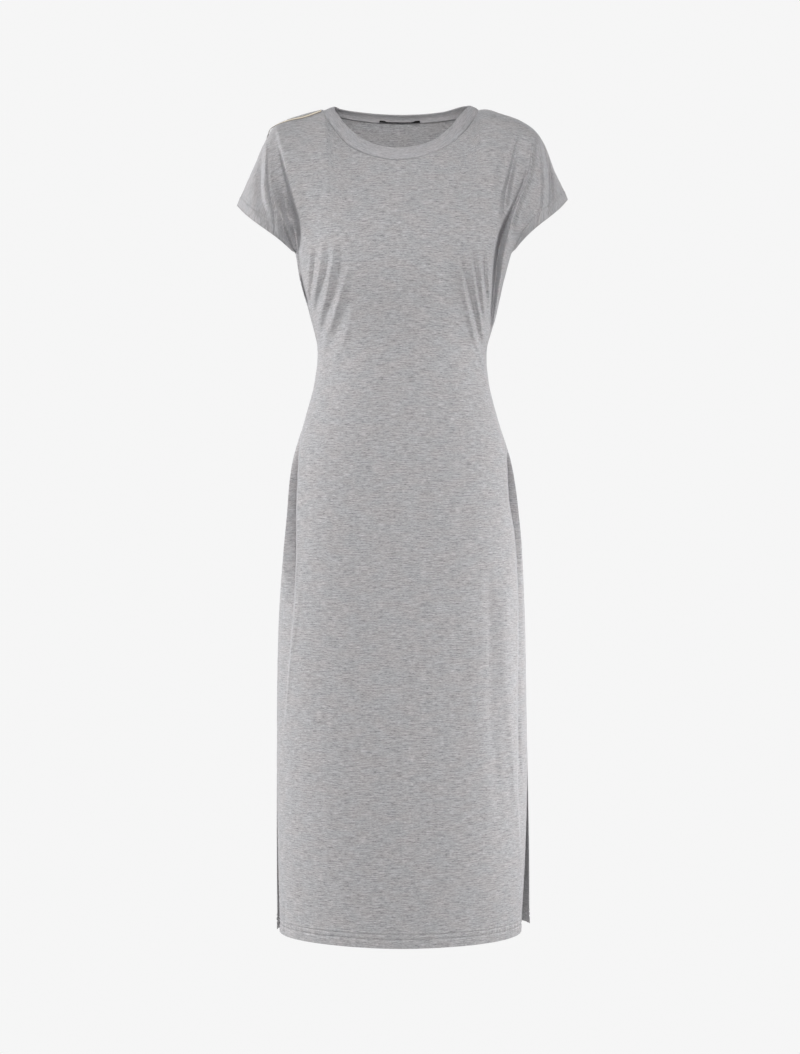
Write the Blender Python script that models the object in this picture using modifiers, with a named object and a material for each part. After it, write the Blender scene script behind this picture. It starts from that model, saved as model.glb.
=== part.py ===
"""A midi t-shirt dress in grey melange jersey, filled out as it is when worn: hollow, and open at the neck,
the cuffs, the hem and the side slits.

Metres. +Z is up and the front faces -Y. The origin lies between the two points where the shoulders meet the
neck, which is where the wearer's shoulders hold the dress. Left and right are -X and +X.
"""
import math

import bpy
import bmesh
import numpy as np

COLLECTION = "t_shirt_dress"
OTHER_SIDE = {"front": "back", "back": "front"}
HANDS = (("left", -1), ("right", 1))

# Steps, in panel shares, over which directions along the surface are read.
LINE_STEP = 0.01
SURFACE_STEP = 0.004
# Length below which two points are the same.
SAME_POINT = 1e-6

# Thicknesses of the cloth and of what is sewn to it.
PANEL_THICKNESS = 0.0016
BAND_THICKNESS = 0.0022
TAPE_THICKNESS = 0.0010
LABEL_THICKNESS = 0.0010
SEAM_GAP = 0.0003
# Most that an edge draws back from its seam where the sheets meet at an angle.
MOST_DRAWN_BACK = 0.0020

HEM_Z = -1.192
UNDERARM_Z = -0.212
SLIT_TOP_Z = -0.925

# Level sections of body and skirt: the height, how far the side seams lie out at left and right, how deep
# the front and the back are, and the exponent of the section's curve (2 is an ellipse, more is squarer).
SECTION_COLUMNS = ("z", "left", "right", "front", "back", "squareness")
SECTIONS = (
    (HEM_Z, 0.1800, 0.1845, 0.132, 0.139, 1.78),
    (-1.090, 0.1810, 0.1840, 0.130, 0.135, 1.95),
    (-0.945, 0.1810, 0.1815, 0.127, 0.130, 2.10),
    (-0.858, 0.1810, 0.1800, 0.124, 0.129, 2.20),
    (-0.713, 0.1770, 0.1770, 0.119, 0.128, 2.20),
    (-0.597, 0.1675, 0.1700, 0.114, 0.126, 2.20),
    (-0.510, 0.1580, 0.1570, 0.108, 0.118, 2.15),
    (-0.452, 0.1410, 0.1390, 0.102, 0.106, 2.10),
    (-0.394, 0.1260, 0.1250, 0.096, 0.091, 2.05),
    (-0.350, 0.1225, 0.1230, 0.096, 0.084, 2.05),
    (-0.307, 0.1320, 0.1350, 0.105, 0.086, 2.10),
    (-0.249, 0.1480, 0.1480, 0.120, 0.096, 2.15),
    (UNDERARM_Z, 0.1540, 0.1580, 0.122, 0.101, 2.15),
)

# Seam between the panels and the neck band, from the left shoulder to the right one.
POINT_COLUMNS = ("x", "y", "z")
NECK_SEAM = {
    "front": (
        (-0.1145, -0.0120, -0.0085),
        (-0.0990, -0.0310, -0.0350),
        (-0.0786, -0.0500, -0.0615),
        (-0.0384, -0.0690, -0.0822),
        (-0.0030, -0.0735, -0.0878),
        (0.0330, -0.0710, -0.0810),
        (0.0604, -0.0620, -0.0684),
        (0.0890, -0.0400, -0.0417),
        (0.1116, 0.0080, -0.0026),
    ),
    "back": (
        (-0.1145, -0.0120, -0.0085),
        (-0.1125, 0.0040, -0.0030),
        (-0.1000, 0.0270, -0.0035),
        (-0.0640, 0.0560, -0.0060),
        (0.0000, 0.0680, -0.0065),
        (0.0640, 0.0560, -0.0060),
        (0.1000, 0.0270, -0.0040),
        (0.1116, 0.0080, -0.0026),
    ),
}
# Upper edge of the neck band, in the same order.
BAND_EDGE = {
    "front": (
        (-0.0972, -0.0080, -0.0065),
        (-0.0821, -0.0280, -0.0297),
        (-0.0601, -0.0480, -0.0521),
        (-0.0330, -0.0610, -0.0665),
        (-0.0050, -0.0650, -0.0702),
        (0.0230, -0.0625, -0.0664),
        (0.0460, -0.0550, -0.0570),
        (0.0664, -0.0410, -0.0391),
        (0.0870, -0.0150, -0.0110),
        (0.0980, 0.0060, 0.0038),
    ),
    "back": (
        (-0.0972, -0.0080, -0.0065),
        (-0.0985, 0.0010, 0.0010),
        (-0.0901, 0.0180, 0.0018),
        (-0.0620, 0.0410, 0.0020),
        (0.0000, 0.0520, 0.0003),
        (0.0620, 0.0420, 0.0032),
        (0.0882, 0.0200, 0.0055),
        (0.0980, 0.0060, 0.0038),
    ),
}

# Seam along the top of the shoulder and the sleeve, from the neck to the cuff, and how far the cloth across
# the seam leans back (positive) or forwards, in degrees, because the seams lie off the ridge.
SHOULDER_COLUMNS = ("x", "y", "z", "lean")
SHOULDER_SEAM = {
    "left": (
        (-0.1145, -0.0120, -0.0085, 34.0),
        (-0.1420, -0.0105, -0.0150, 38.0),
        (-0.1657, -0.0080, -0.0200, 30.0),
        (-0.1873, -0.0010, -0.0288, 12.0),
        (-0.1982, 0.0050, -0.0497, -6.0),
        (-0.2243, 0.0080, -0.1106, -8.0),
        (-0.2380, 0.0080, -0.1392, -8.0),
    ),
    "right": (
        (0.1116, 0.0080, -0.0026, -2.0),
        (0.1200, 0.0090, -0.0022, -4.0),
        (0.1407, 0.0100, -0.0078, -6.0),
        (0.1726, 0.0100, -0.0190, -6.0),
        (0.1925, 0.0080, -0.0335, -6.0),
        (0.2045, 0.0080, -0.0493, -6.0),
        (0.2219, 0.0080, -0.0928, -6.0),
        (0.2407, 0.0080, -0.1305, -6.0),
    ),
}

# Cuffs: how far the front and back halves of the opening stand off the straight line from the underarm to
# the top of the sleeve, and how much they rise there.
CUFFS = {
    ("front", "left"): {"bulge": 0.062, "rise": -0.010},
    ("front", "right"): {"bulge": 0.062, "rise": -0.002},
    ("back", "left"): {"bulge": 0.056, "rise": 0.014},
    ("back", "right"): {"bulge": 0.056, "rise": 0.016},
}

# The yoke, above the underarms: how strongly the cloth runs up from the underarm section, and in which
# direction and how strongly it arrives at its top edge, for columns of the panel by their share of its half
# width. "across" is along the shoulder's cross direction, "up" is +Z.
YOKE_COLUMNS = ("share", "climb", "across", "up")
YOKE = {
    "front": (
        (0.00, 0.120, 0.050, 0.110),
        (0.22, 0.130, 0.075, 0.110),
        (0.36, 0.190, 0.110, 0.090),
        (0.44, 0.260, 0.160, 0.030),
        (0.60, 0.250, 0.180, 0.000),
        (0.80, 0.180, 0.190, 0.000),
        (1.00, 0.110, 0.230, 0.000),
    ),
    "back": (
        (0.00, 0.190, 0.085, 0.180),
        (0.22, 0.200, 0.100, 0.160),
        (0.36, 0.230, 0.125, 0.110),
        (0.44, 0.260, 0.175, 0.020),
        (0.60, 0.250, 0.190, 0.000),
        (0.80, 0.180, 0.190, 0.000),
        (1.00, 0.110, 0.230, 0.000),
    ),
}
# Share of a panel's half width that the neck takes, and the share from which the cuff bends the columns.
NECK_SHARE = 0.44
CUFF_BLEND_START = 0.70

# Slit edges at the hem, as offsets from the side seam's line, growing downwards from the slits' tops. The
# growth is the exponent of the widening, and the reach is the share of the panel's half width that bends.
SLIT_EDGES = {
    ("front", "left"): {"x": 0.0040, "y": -0.0060},
    ("front", "right"): {"x": -0.0130, "y": -0.0030},
    ("back", "left"): {"x": -0.0010, "y": 0.0100},
    ("back", "right"): {"x": 0.0030, "y": 0.0530},
}
SLIT_GROWTH = 1.4
SLIT_REACH = 0.70

# Largest folds, seen from the front or the back: where each starts and ends, its half width and its height,
# negative for a trough.
FOLD_COLUMNS = ("x_start", "z_start", "x_end", "z_end", "width", "height")
FOLDS = {
    "front": (
        (-0.178, -0.060, -0.157, -0.235, 0.0110, -0.0200),
        (0.180, -0.095, 0.146, -0.245, 0.0080, -0.0200),
        (0.208, -0.060, 0.203, -0.160, 0.0070, 0.0050),
        (-0.202, -0.085, -0.202, -0.160, 0.0060, 0.0045),
        (-0.118, -0.220, -0.126, -0.305, 0.0075, -0.0045),
        (-0.090, -0.232, -0.121, -0.330, 0.0075, -0.0040),
        (0.090, -0.230, 0.118, -0.325, 0.0075, -0.0040),
        (0.112, -0.222, 0.128, -0.305, 0.0075, -0.0045),
        (-0.158, -0.480, -0.163, -0.690, 0.0080, -0.0050),
        (0.153, -0.480, 0.164, -0.700, 0.0080, -0.0050),
        (0.126, -0.560, 0.128, -0.900, 0.0110, -0.0030),
    ),
    "back": (
        (-0.178, -0.070, -0.152, -0.235, 0.0110, -0.0170),
        (0.182, -0.080, 0.152, -0.240, 0.0110, -0.0170),
        (-0.040, -0.240, -0.034, -0.460, 0.0130, -0.0060),
        (0.042, -0.250, 0.036, -0.450, 0.0130, -0.0060),
        (-0.095, -0.235, -0.118, -0.340, 0.0090, -0.0045),
        (0.092, -0.230, 0.118, -0.345, 0.0090, -0.0045),
        (-0.120, -0.500, -0.128, -0.860, 0.0120, -0.0035),
        (0.110, -0.520, 0.122, -0.900, 0.0120, -0.0035),
    ),
}
# Share of its length over which a fold fades out at each end.
FOLD_END_SOFTNESS = 0.22
# Folds fade out over this distance from the side seams and over this share of the yoke from the top edge.
FOLD_FADE = 0.035
FOLD_FADE_TOP = 0.15

# Grid of each panel: columns over the neck and over each shoulder, and rows between heights, where 0 to 1 is
# hem to underarm and 1 to 2 is underarm to top edge.
NECK_CELLS = 16
SHOULDER_CELLS = 11
ROW_BANDS = ((0.00, 0.27, 4), (0.27, 0.70, 7), (0.70, 0.83, 4), (0.83, 1.00, 9), (1.00, 2.00, 10))

BAND_CELLS_HIGH = 4
# How far the middle of the band's height stands out.
BAND_CROWN = 0.0012
TAPE_WIDTH = 0.0050
# Where the tapes start and end, as shares of the first and last cell of the shoulder's columns.
TAPE_INSETS = (0.12, 0.95)
LABEL_LENGTH = 0.061
LABEL_CELLS = 12
# The label's upper edge as a share of the band's height, at its ends and in its slim middle.
LABEL_RISES = (0.27, 0.12)
# Shares of its half length over which it broadens.
LABEL_END_SHARES = (0.62, 0.80)

JERSEY_COLOUR = (0.40, 0.395, 0.405, 1.0)
BAND_COLOUR = (0.42, 0.415, 0.425, 1.0)
TAPE_COLOUR = (0.80, 0.72, 0.58, 1.0)
LABEL_COLOUR = (0.012, 0.012, 0.013, 1.0)


def smooth_column(places, values, at):
    """Read a smooth curve through (places, values), with the slopes of its neighbours, at an array."""
    places, values = np.asarray(places, float), np.asarray(values, float)
    slopes = np.gradient(values, places)
    k = np.clip(np.searchsorted(places, at) - 1, 0, len(places) - 2)
    span = places[k + 1] - places[k]
    t = np.clip((at - places[k]) / span, 0.0, 1.0)
    start = (2 * t**3 - 3 * t**2 + 1) * values[k] + (t**3 - 2 * t**2 + t) * span * slopes[k]
    end = (3 * t**2 - 2 * t**3) * values[k + 1] + (t**3 - t**2) * span * slopes[k + 1]
    return start + end


def column(table, names, name):
    return np.array([row[names.index(name)] for row in table])


def read_table(table, names, at):
    """Read every column of a table at places in its first column, as a dictionary."""
    places = column(table, names, names[0])
    return {name: smooth_column(places, column(table, names, name), at) for name in names[1:]}


def smoothstep(low, high, value):
    t = np.clip((value - low) / (high - low), 0.0, 1.0)
    return t * t * (3 - 2 * t)


def along(table, names, share):
    """Read every column of a table of points at a share, 0 to 1, of the length of the line through them."""
    points = np.array([[row[names.index(axis)] for axis in POINT_COLUMNS] for row in table])
    steps = np.linalg.norm(np.diff(points, axis=0), axis=1)
    places = np.concatenate(([0.0], np.cumsum(steps))) / steps.sum()
    return [smooth_column(places, column(table, names, name), share) for name in names]


def unit(vectors):
    return vectors / np.maximum(np.linalg.norm(vectors, axis=-1, keepdims=True), SAME_POINT)


def stack(x, y, z):
    return np.stack(np.broadcast_arrays(x, y, z), axis=-1).astype(float)


def section_point(side, u, height):
    """Point of the body at u (-1 at the left seam, 1 at the right) and height (0 hem, 1 underarm)."""
    z = HEM_Z + height * (UNDERARM_Z - HEM_Z)
    size = read_table(SECTIONS, SECTION_COLUMNS, z)
    angle = u * math.pi / 2
    power = 2 / size["squareness"]
    width = np.where(u < 0, size["left"], size["right"])
    x = np.sign(angle) * width * np.abs(np.sin(angle)) ** power
    y = size[side] * np.abs(np.cos(angle)) ** power * (-1 if side == "front" else 1)
    return stack(x, y, z) + slit_offset(side, u, z)


def slit_offset(side, u, z):
    """How far a panel's edges spread at the slits."""
    depth = np.clip((SLIT_TOP_Z - z) / (SLIT_TOP_Z - HEM_Z), 0.0, 1.0) ** SLIT_GROWTH
    offset = np.zeros(np.broadcast(u, z).shape + (3,))
    for hand, sign in HANDS:
        edge = SLIT_EDGES[side, hand]
        weight = depth * smoothstep(1 - SLIT_REACH, 1.0, u * sign)
        offset += stack(edge["x"] * weight, edge["y"] * weight, 0.0)
    return offset


def top_point(side, u):
    """Top edge of a panel at u, with the cross direction of the cloth there."""
    neck_share = (np.clip(u / NECK_SHARE, -1.0, 1.0) + 1) / 2
    point = stack(*along(NECK_SEAM[side], POINT_COLUMNS, neck_share))
    across = stack(np.zeros_like(u), np.ones_like(u), np.zeros_like(u))
    for hand, sign in HANDS:
        share = np.clip((u * sign - NECK_SHARE) / (1 - NECK_SHARE), 0.0, 1.0)
        x, y, z, lean = along(SHOULDER_SEAM[hand], SHOULDER_COLUMNS, share)
        near = along(SHOULDER_SEAM[hand], SHOULDER_COLUMNS, np.clip(share - LINE_STEP, 0.0, 1.0))
        far = along(SHOULDER_SEAM[hand], SHOULDER_COLUMNS, np.clip(share + LINE_STEP, 0.0, 1.0))
        fall = np.arctan2(near[2] - far[2], (far[0] - near[0]) * sign)
        angle = np.radians(lean)
        outward = stack(sign * np.sin(fall), 0.0, np.cos(fall))
        leaning = stack(0.0, np.cos(angle), 0.0) + outward * np.sin(angle)[..., None]
        beyond = (u * sign > NECK_SHARE)[..., None]
        point = np.where(beyond, stack(x, y, z), point)
        faded = smoothstep(0.0, NECK_SHARE, u * sign)[..., None]
        across = across * (1 - faded) + leaning * faded
    return point, across


def yoke_point(side, u, rise):
    """Point of the yoke at u and rise, 0 at the underarm section and 1 at the top edge."""
    ahead = -1 if side == "front" else 1
    flow = read_table(YOKE[side], YOKE_COLUMNS, np.abs(u))
    start = section_point(side, u, np.ones_like(u))
    climb = unit(start - section_point(side, u, np.full_like(u, 1 - LINE_STEP)))
    end, across = top_point(side, u)
    leave = climb * flow["climb"][..., None]
    arrive = across * (-ahead * flow["across"])[..., None] + stack(0.0, 0.0, flow["up"])
    for hand, sign in HANDS:
        cuff = CUFFS[side, hand]
        # A cubic whose ends swing by four times the bulge stands off its chord by the bulge.
        swing = np.array([0.0, 4 * ahead * cuff["bulge"], 4 * cuff["rise"]])
        chord = end - start
        weight = smoothstep(CUFF_BLEND_START, 1.0, u * sign)[..., None]
        leave = leave * (1 - weight) + (chord + swing) * weight
        arrive = arrive * (1 - weight) + (chord - swing) * weight
    t = rise[..., None]
    from_start = (2 * t**3 - 3 * t**2 + 1) * start + (t**3 - 2 * t**2 + t) * leave
    to_end = (3 * t**2 - 2 * t**3) * end + (t**3 - t**2) * arrive
    return from_start + to_end


def plain_point(side, u, height):
    """Point of a panel without its folds; height is 0 at the hem, 1 at the underarm and 2 at the top edge."""
    u, height = np.broadcast_arrays(np.asarray(u, float), np.asarray(height, float))
    body = section_point(side, u, np.clip(height, 0.0, 1.0))
    yoke = yoke_point(side, u, np.clip(height - 1, 0.0, 1.0))
    return np.where((height <= 1)[..., None], body, yoke)


def normal_at(side, u, height):
    """Outward direction of a panel without its folds."""
    low_u, high_u = np.clip(u - SURFACE_STEP, -1, 1), np.clip(u + SURFACE_STEP, -1, 1)
    low, high = np.clip(height - SURFACE_STEP, 0, 2), np.clip(height + SURFACE_STEP, 0, 2)
    round_panel = plain_point(side, high_u, height) - plain_point(side, low_u, height)
    up_panel = plain_point(side, u, high) - plain_point(side, u, low)
    normal = np.cross(round_panel, up_panel)
    if side == "back":
        normal = -normal
    return unit(normal)


def fold_height(side, point, u, height):
    """How far the folds move the cloth outwards."""
    total = np.zeros(point.shape[:-1])
    x, z = point[..., 0], point[..., 2]
    for row in FOLDS[side]:
        fold = dict(zip(FOLD_COLUMNS, row))
        run_x, run_z = fold["x_end"] - fold["x_start"], fold["z_end"] - fold["z_start"]
        from_x, from_z = x - fold["x_start"], z - fold["z_start"]
        length = math.hypot(run_x, run_z)
        share = (from_x * run_x + from_z * run_z) / length**2
        off = (from_x * run_z - from_z * run_x) / length
        ends = smoothstep(0.0, FOLD_END_SOFTNESS, share) * smoothstep(0.0, FOLD_END_SOFTNESS, 1 - share)
        total += fold["height"] * np.exp(-((off / fold["width"]) ** 2)) * ends
    edges = smoothstep(0.0, FOLD_FADE, np.abs(point[..., 1])) * smoothstep(0.0, FOLD_FADE_TOP, 2 - height)
    return total * np.where(np.abs(u) < 1, edges, 0.0)


def panel_point(side, u, height):
    """Point of a panel with its folds, and the outward direction there."""
    point = plain_point(side, u, height)
    normal = normal_at(side, u, height)
    return point + normal * fold_height(side, point, u, height)[..., None], normal


def panel_grid():
    """Places of a panel's columns and rows."""
    neck = np.linspace(-NECK_SHARE, NECK_SHARE, NECK_CELLS + 1)
    shoulder = np.linspace(NECK_SHARE, 1.0, SHOULDER_CELLS + 1)[1:]
    columns = np.concatenate((-shoulder[::-1], neck, shoulder))
    rows = [np.linspace(low, high, cells + 1)[1:] for low, high, cells in ROW_BANDS]
    return columns, np.concatenate([[0.0], *rows])


def material(name, colour, roughness):
    made = bpy.data.materials.new(name)
    made.use_nodes = True
    shader = made.node_tree.nodes["Principled BSDF"]
    shader.inputs["Base Color"].default_value = colour
    shader.inputs["Roughness"].default_value = roughness
    shader.inputs["Metallic"].default_value = 0.0
    return made


def sheet(name, points, thickness, finish, closed=False):
    """A sheet through a grid of points (across, up, xyz), as an open surface thickened to both sides."""
    across, up = points.shape[0] - 1, points.shape[1] - 1
    made = bmesh.new()
    bmesh.ops.create_grid(made, x_segments=across, y_segments=up, size=1.0)
    for vertex in made.verts:
        i = round((vertex.co.x + 1) / 2 * across)
        j = round((vertex.co.y + 1) / 2 * up)
        vertex.co = points[i, j]
    if closed:
        bmesh.ops.remove_doubles(made, verts=made.verts, dist=SAME_POINT)
    mesh = bpy.data.meshes.new(name)
    made.to_mesh(mesh)
    made.free()
    mesh.shade_smooth()
    obj = bpy.data.objects.new(name, mesh)
    bpy.data.collections[COLLECTION].objects.link(obj)
    obj.data.materials.append(finish)
    solidify = obj.modifiers.new("thickness", "SOLIDIFY")
    solidify.thickness = thickness
    solidify.offset = 0.0
    return obj


def mitre(first, second, thickness):
    """How far two sheets draw back from a seam that they reach in these directions, to leave SEAM_GAP."""
    bend = np.pi - np.arccos(np.clip((first * second).sum(axis=-1, keepdims=True), -1.0, 1.0))
    return np.minimum(SEAM_GAP / 2 + thickness / 2 * np.tan(bend / 2), MOST_DRAWN_BACK)


def panel(side, finish):
    """The front or back panel, drawn back a little from its neighbour along the side and shoulder seams."""
    columns, rows = panel_grid()
    u, height = np.meshgrid(columns, rows, indexing="ij")
    points, other = [panel_point(name, u, height)[0] for name in (side, OTHER_SIDE[side])]
    drawn = points.copy()
    side_rows = rows < 1 + SURFACE_STEP
    seams = [((0, side_rows), (1, side_rows)), ((-1, side_rows), (-2, side_rows))]
    for shoulder in (columns <= -NECK_SHARE, columns >= NECK_SHARE):
        seams.append(((shoulder, -1), (shoulder, -2)))
    for edge, beside in seams:
        own, facing = unit(points[edge] - points[beside]), unit(other[edge] - other[beside])
        drawn[edge] -= own * mitre(own, facing, PANEL_THICKNESS)
    if side == "back":
        drawn = drawn[::-1]
    return sheet(f"{side}_panel", drawn, PANEL_THICKNESS, finish)


def band_ring():
    """Lower edge, upper edge and outward direction of the neck band at the panels' columns round the neck."""
    share = np.linspace(0.0, 1.0, NECK_CELLS + 1)
    u = (2 * share - 1) * NECK_SHARE
    lines = {"lower": [], "upper": [], "panel_rise": []}
    for side, order in (("front", 1), ("back", -1)):
        top, _ = panel_point(side, u, np.full_like(u, 2.0))
        below, _ = panel_point(side, u, np.full_like(u, 2.0 - 1 / ROW_BANDS[-1][2]))
        lines["lower"].append(top[::order])
        lines["upper"].append(stack(*along(BAND_EDGE[side], POINT_COLUMNS, share))[::order])
        lines["panel_rise"].append((top - below)[::order])
    lower, upper, panel_rise = [np.concatenate((front, back[1:])) for front, back in lines.values()]
    rise = unit(upper - lower)
    stand_off = 2 * mitre(-rise, unit(panel_rise), (PANEL_THICKNESS + BAND_THICKNESS) / 2)
    run = np.gradient(lower, axis=0)
    for line in (stand_off, run):
        line[0] = line[-1] = (line[0] + line[-1]) / 2
    return lower + rise * stand_off, upper, unit(np.cross(run, rise))


def band_row(ring, share, out):
    """The ring of points at a share of the band's height, moved out from the middle of the cloth."""
    lower, upper, outward = ring
    return lower + (upper - lower) * share + outward * (BAND_CROWN * np.sin(math.pi * share) + out)


def neck_band(finish):
    ring = band_ring()
    rows = [band_row(ring, share, 0.0) for share in np.linspace(0.0, 1.0, BAND_CELLS_HIGH + 1)]
    return sheet("neck_band", np.stack(rows, axis=1), BAND_THICKNESS, finish, closed=True)


def neck_label(finish):
    """Narrow label on the inside of the band at the back neck, with broad ends and a slim middle."""
    share = np.linspace(-1.0, 1.0, LABEL_CELLS + 1)
    ends, slim = LABEL_RISES
    top = slim + (ends - slim) * smoothstep(*LABEL_END_SHARES, np.abs(share))
    inset = -(BAND_THICKNESS / 2 + SEAM_GAP + LABEL_THICKNESS / 2)
    lower, upper, outward = [line[NECK_CELLS:][::-1] for line in band_ring()]
    rows = []
    for height in (np.zeros_like(top), top):
        places = []
        for axis in range(3):
            x = share * LABEL_LENGTH / 2
            low, high, out = [np.interp(x, lower[:, 0], line[:, axis]) for line in (lower, upper, outward)]
            places.append(low + (high - low) * height + out * (BAND_CROWN * np.sin(math.pi * height) + inset))
        rows.append(np.stack(places, axis=-1))
    return sheet("neck_label", np.stack(rows, axis=1), LABEL_THICKNESS, finish)


def shoulder_tape(hand, finish):
    """Tape on a shoulder seam, made from the panels' points on the seam and beside it, moved out."""
    sign = -1 if hand == "left" else 1
    columns, rows = panel_grid()
    u = sign * columns[columns >= NECK_SHARE]
    seam, _ = panel_point("front", u, np.full_like(u, 2.0))
    beside = [panel_point(side, u, np.full_like(u, rows[-2]))[0] for side in ("front", "back")]
    run = np.gradient(seam, axis=0)
    out = unit(np.cross(run, beside[1] - beside[0])) * sign
    across = unit(np.cross(out, run)) * sign
    middle = seam + out * (PANEL_THICKNESS / 2 + SEAM_GAP + TAPE_THICKNESS / 2)
    lines = []
    for side in (-1, 1):
        line = middle + across * side * TAPE_WIDTH / 2
        start, end = TAPE_INSETS
        line[0] = line[0] + (line[1] - line[0]) * start
        line[-1] = line[-2] + (line[-1] - line[-2]) * end
        lines.append(line[::sign])
    return sheet(f"shoulder_tape_{hand}", np.stack(lines, axis=1), TAPE_THICKNESS, finish)


def main():
    for obj in list(bpy.data.objects):
        bpy.data.objects.remove(obj, do_unlink=True)
    collection = bpy.data.collections.new(COLLECTION)
    bpy.context.scene.collection.children.link(collection)
    for side in ("front", "back"):
        panel(side, material(f"jersey_{side}", JERSEY_COLOUR, 0.9))
    neck_band(material("jersey_band", BAND_COLOUR, 0.9))
    for hand in ("left", "right"):
        shoulder_tape(hand, material(f"tape_{hand}", TAPE_COLOUR, 0.5))
    neck_label(material("label", LABEL_COLOUR, 0.7))


main()
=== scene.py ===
"""Looks of a midi t-shirt dress in grey melange jersey, filled out as it is when worn, with no wearer."""
import math

import bpy
import bmesh
import numpy as np
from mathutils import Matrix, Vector


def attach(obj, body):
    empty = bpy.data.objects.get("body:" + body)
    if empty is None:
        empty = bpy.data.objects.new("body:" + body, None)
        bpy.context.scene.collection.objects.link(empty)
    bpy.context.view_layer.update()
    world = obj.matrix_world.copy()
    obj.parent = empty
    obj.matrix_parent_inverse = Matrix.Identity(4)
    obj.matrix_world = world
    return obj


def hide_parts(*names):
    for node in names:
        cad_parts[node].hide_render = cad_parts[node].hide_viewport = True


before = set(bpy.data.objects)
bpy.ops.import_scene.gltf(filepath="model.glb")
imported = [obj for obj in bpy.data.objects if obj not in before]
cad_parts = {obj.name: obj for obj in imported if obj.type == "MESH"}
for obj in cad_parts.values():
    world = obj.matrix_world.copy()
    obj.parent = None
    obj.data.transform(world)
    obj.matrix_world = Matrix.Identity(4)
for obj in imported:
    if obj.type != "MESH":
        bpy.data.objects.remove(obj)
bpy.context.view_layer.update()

# ---- The cloth's shape: the same surface as the solids, read much more finely.

SIDES = ("front", "back")
SIGNS = {"left": -1, "right": 1}
LINE_STEP, SURFACE_STEP = 0.01, 0.004

HEM_Z, SLIT_TOP_Z, UNDERARM_Z = -1.192, -0.925, -0.212
BODY_HEIGHT = UNDERARM_Z - HEM_Z
SLIT_TOP = (SLIT_TOP_Z - HEM_Z) / BODY_HEIGHT

SECTION_COLUMNS = ("z", "left", "right", "front", "back", "squareness")
SECTIONS = (
    (HEM_Z, 0.18, 0.1845, 0.132, 0.139, 1.78),
    (-1.09, 0.181, 0.184, 0.13, 0.135, 1.95),
    (-0.945, 0.181, 0.1815, 0.127, 0.13, 2.1),
    (-0.858, 0.181, 0.18, 0.124, 0.129, 2.2),
    (-0.713, 0.177, 0.177, 0.119, 0.128, 2.2),
    (-0.597, 0.1675, 0.17, 0.114, 0.126, 2.2),
    (-0.51, 0.158, 0.157, 0.108, 0.118, 2.15),
    (-0.452, 0.141, 0.139, 0.102, 0.106, 2.1),
    (-0.394, 0.126, 0.125, 0.096, 0.091, 2.05),
    (-0.35, 0.1225, 0.123, 0.096, 0.084, 2.05),
    (-0.307, 0.132, 0.135, 0.105, 0.086, 2.1),
    (-0.249, 0.148, 0.148, 0.12, 0.096, 2.15),
    (UNDERARM_Z, 0.154, 0.158, 0.122, 0.101, 2.15),
)
POINT_COLUMNS = ("x", "y", "z")
NECK_SEAM = {
    "front": (
        (-0.1145, -0.012, -0.0055), (-0.099, -0.031, -0.035), (-0.0786, -0.05, -0.0615),
        (-0.0384, -0.069, -0.0822), (-0.003, -0.0735, -0.0878), (0.033, -0.071, -0.081),
        (0.0604, -0.062, -0.0684), (0.089, -0.04, -0.0417), (0.1116, 0.008, -0.0012),
    ),
    "back": (
        (-0.1145, -0.012, -0.0055), (-0.1125, 0.004, -0.003), (-0.1, 0.027, -0.0035),
        (-0.064, 0.056, -0.006), (0.0, 0.0685, -0.0077), (0.064, 0.056, -0.006),
        (0.1, 0.027, -0.004), (0.1116, 0.008, -0.0012),
    ),
}
BAND_EDGE = {
    "front": (
        (-0.0972, -0.008, -0.0065), (-0.0821, -0.028, -0.0297), (-0.0601, -0.048, -0.0521),
        (-0.033, -0.061, -0.0665), (-0.005, -0.065, -0.0702), (0.023, -0.0625, -0.0664),
        (0.046, -0.055, -0.057), (0.0664, -0.041, -0.0391), (0.087, -0.015, -0.011),
        (0.098, 0.006, 0.0038),
    ),
    "back": (
        (-0.0972, -0.008, -0.0065), (-0.0985, 0.001, 0.001), (-0.0901, 0.02, 0.0018),
        (-0.062, 0.0455, 0.0022), (0.0, 0.0575, 0.0007), (0.062, 0.0465, 0.0032),
        (0.0882, 0.0215, 0.0055), (0.098, 0.006, 0.0038),
    ),
}
SHOULDER_COLUMNS = ("x", "y", "z", "lean")
SHOULDER_SEAM = {
    "left": (
        (-0.1145, -0.012, -0.0055, 34.0), (-0.142, -0.0105, -0.015, 38.0),
        (-0.1657, -0.008, -0.02, 30.0), (-0.1873, -0.001, -0.0288, 12.0),
        (-0.1982, 0.005, -0.0497, -6.0), (-0.2227, 0.008, -0.0989, -8.0),
        (-0.2332, 0.008, -0.1221, -8.0), (-0.2398, 0.008, -0.1392, -8.0),
    ),
    "right": (
        (0.1116, 0.008, -0.0012, -2.0), (0.12, 0.009, -0.0006, -4.0),
        (0.1407, 0.01, -0.007, -6.0), (0.1726, 0.01, -0.019, -6.0),
        (0.1925, 0.008, -0.0335, -6.0), (0.2045, 0.008, -0.0493, -6.0),
        (0.2235, 0.008, -0.0928, -6.0), (0.2338, 0.008, -0.113, -6.0),
        (0.2407, 0.008, -0.1305, -6.0),
    ),
}
CUFFS = {
    ("front", "left"): {"bulge": 0.062, "rise": (0.0, -0.012)},
    ("front", "right"): {"bulge": 0.062, "rise": (0.006, -0.011)},
    ("back", "left"): {"bulge": 0.056, "rise": (0.014, 0.014)},
    ("back", "right"): {"bulge": 0.056, "rise": (0.016, 0.016)},
}
YOKE_COLUMNS = ("share", "climb", "across", "up")
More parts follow.
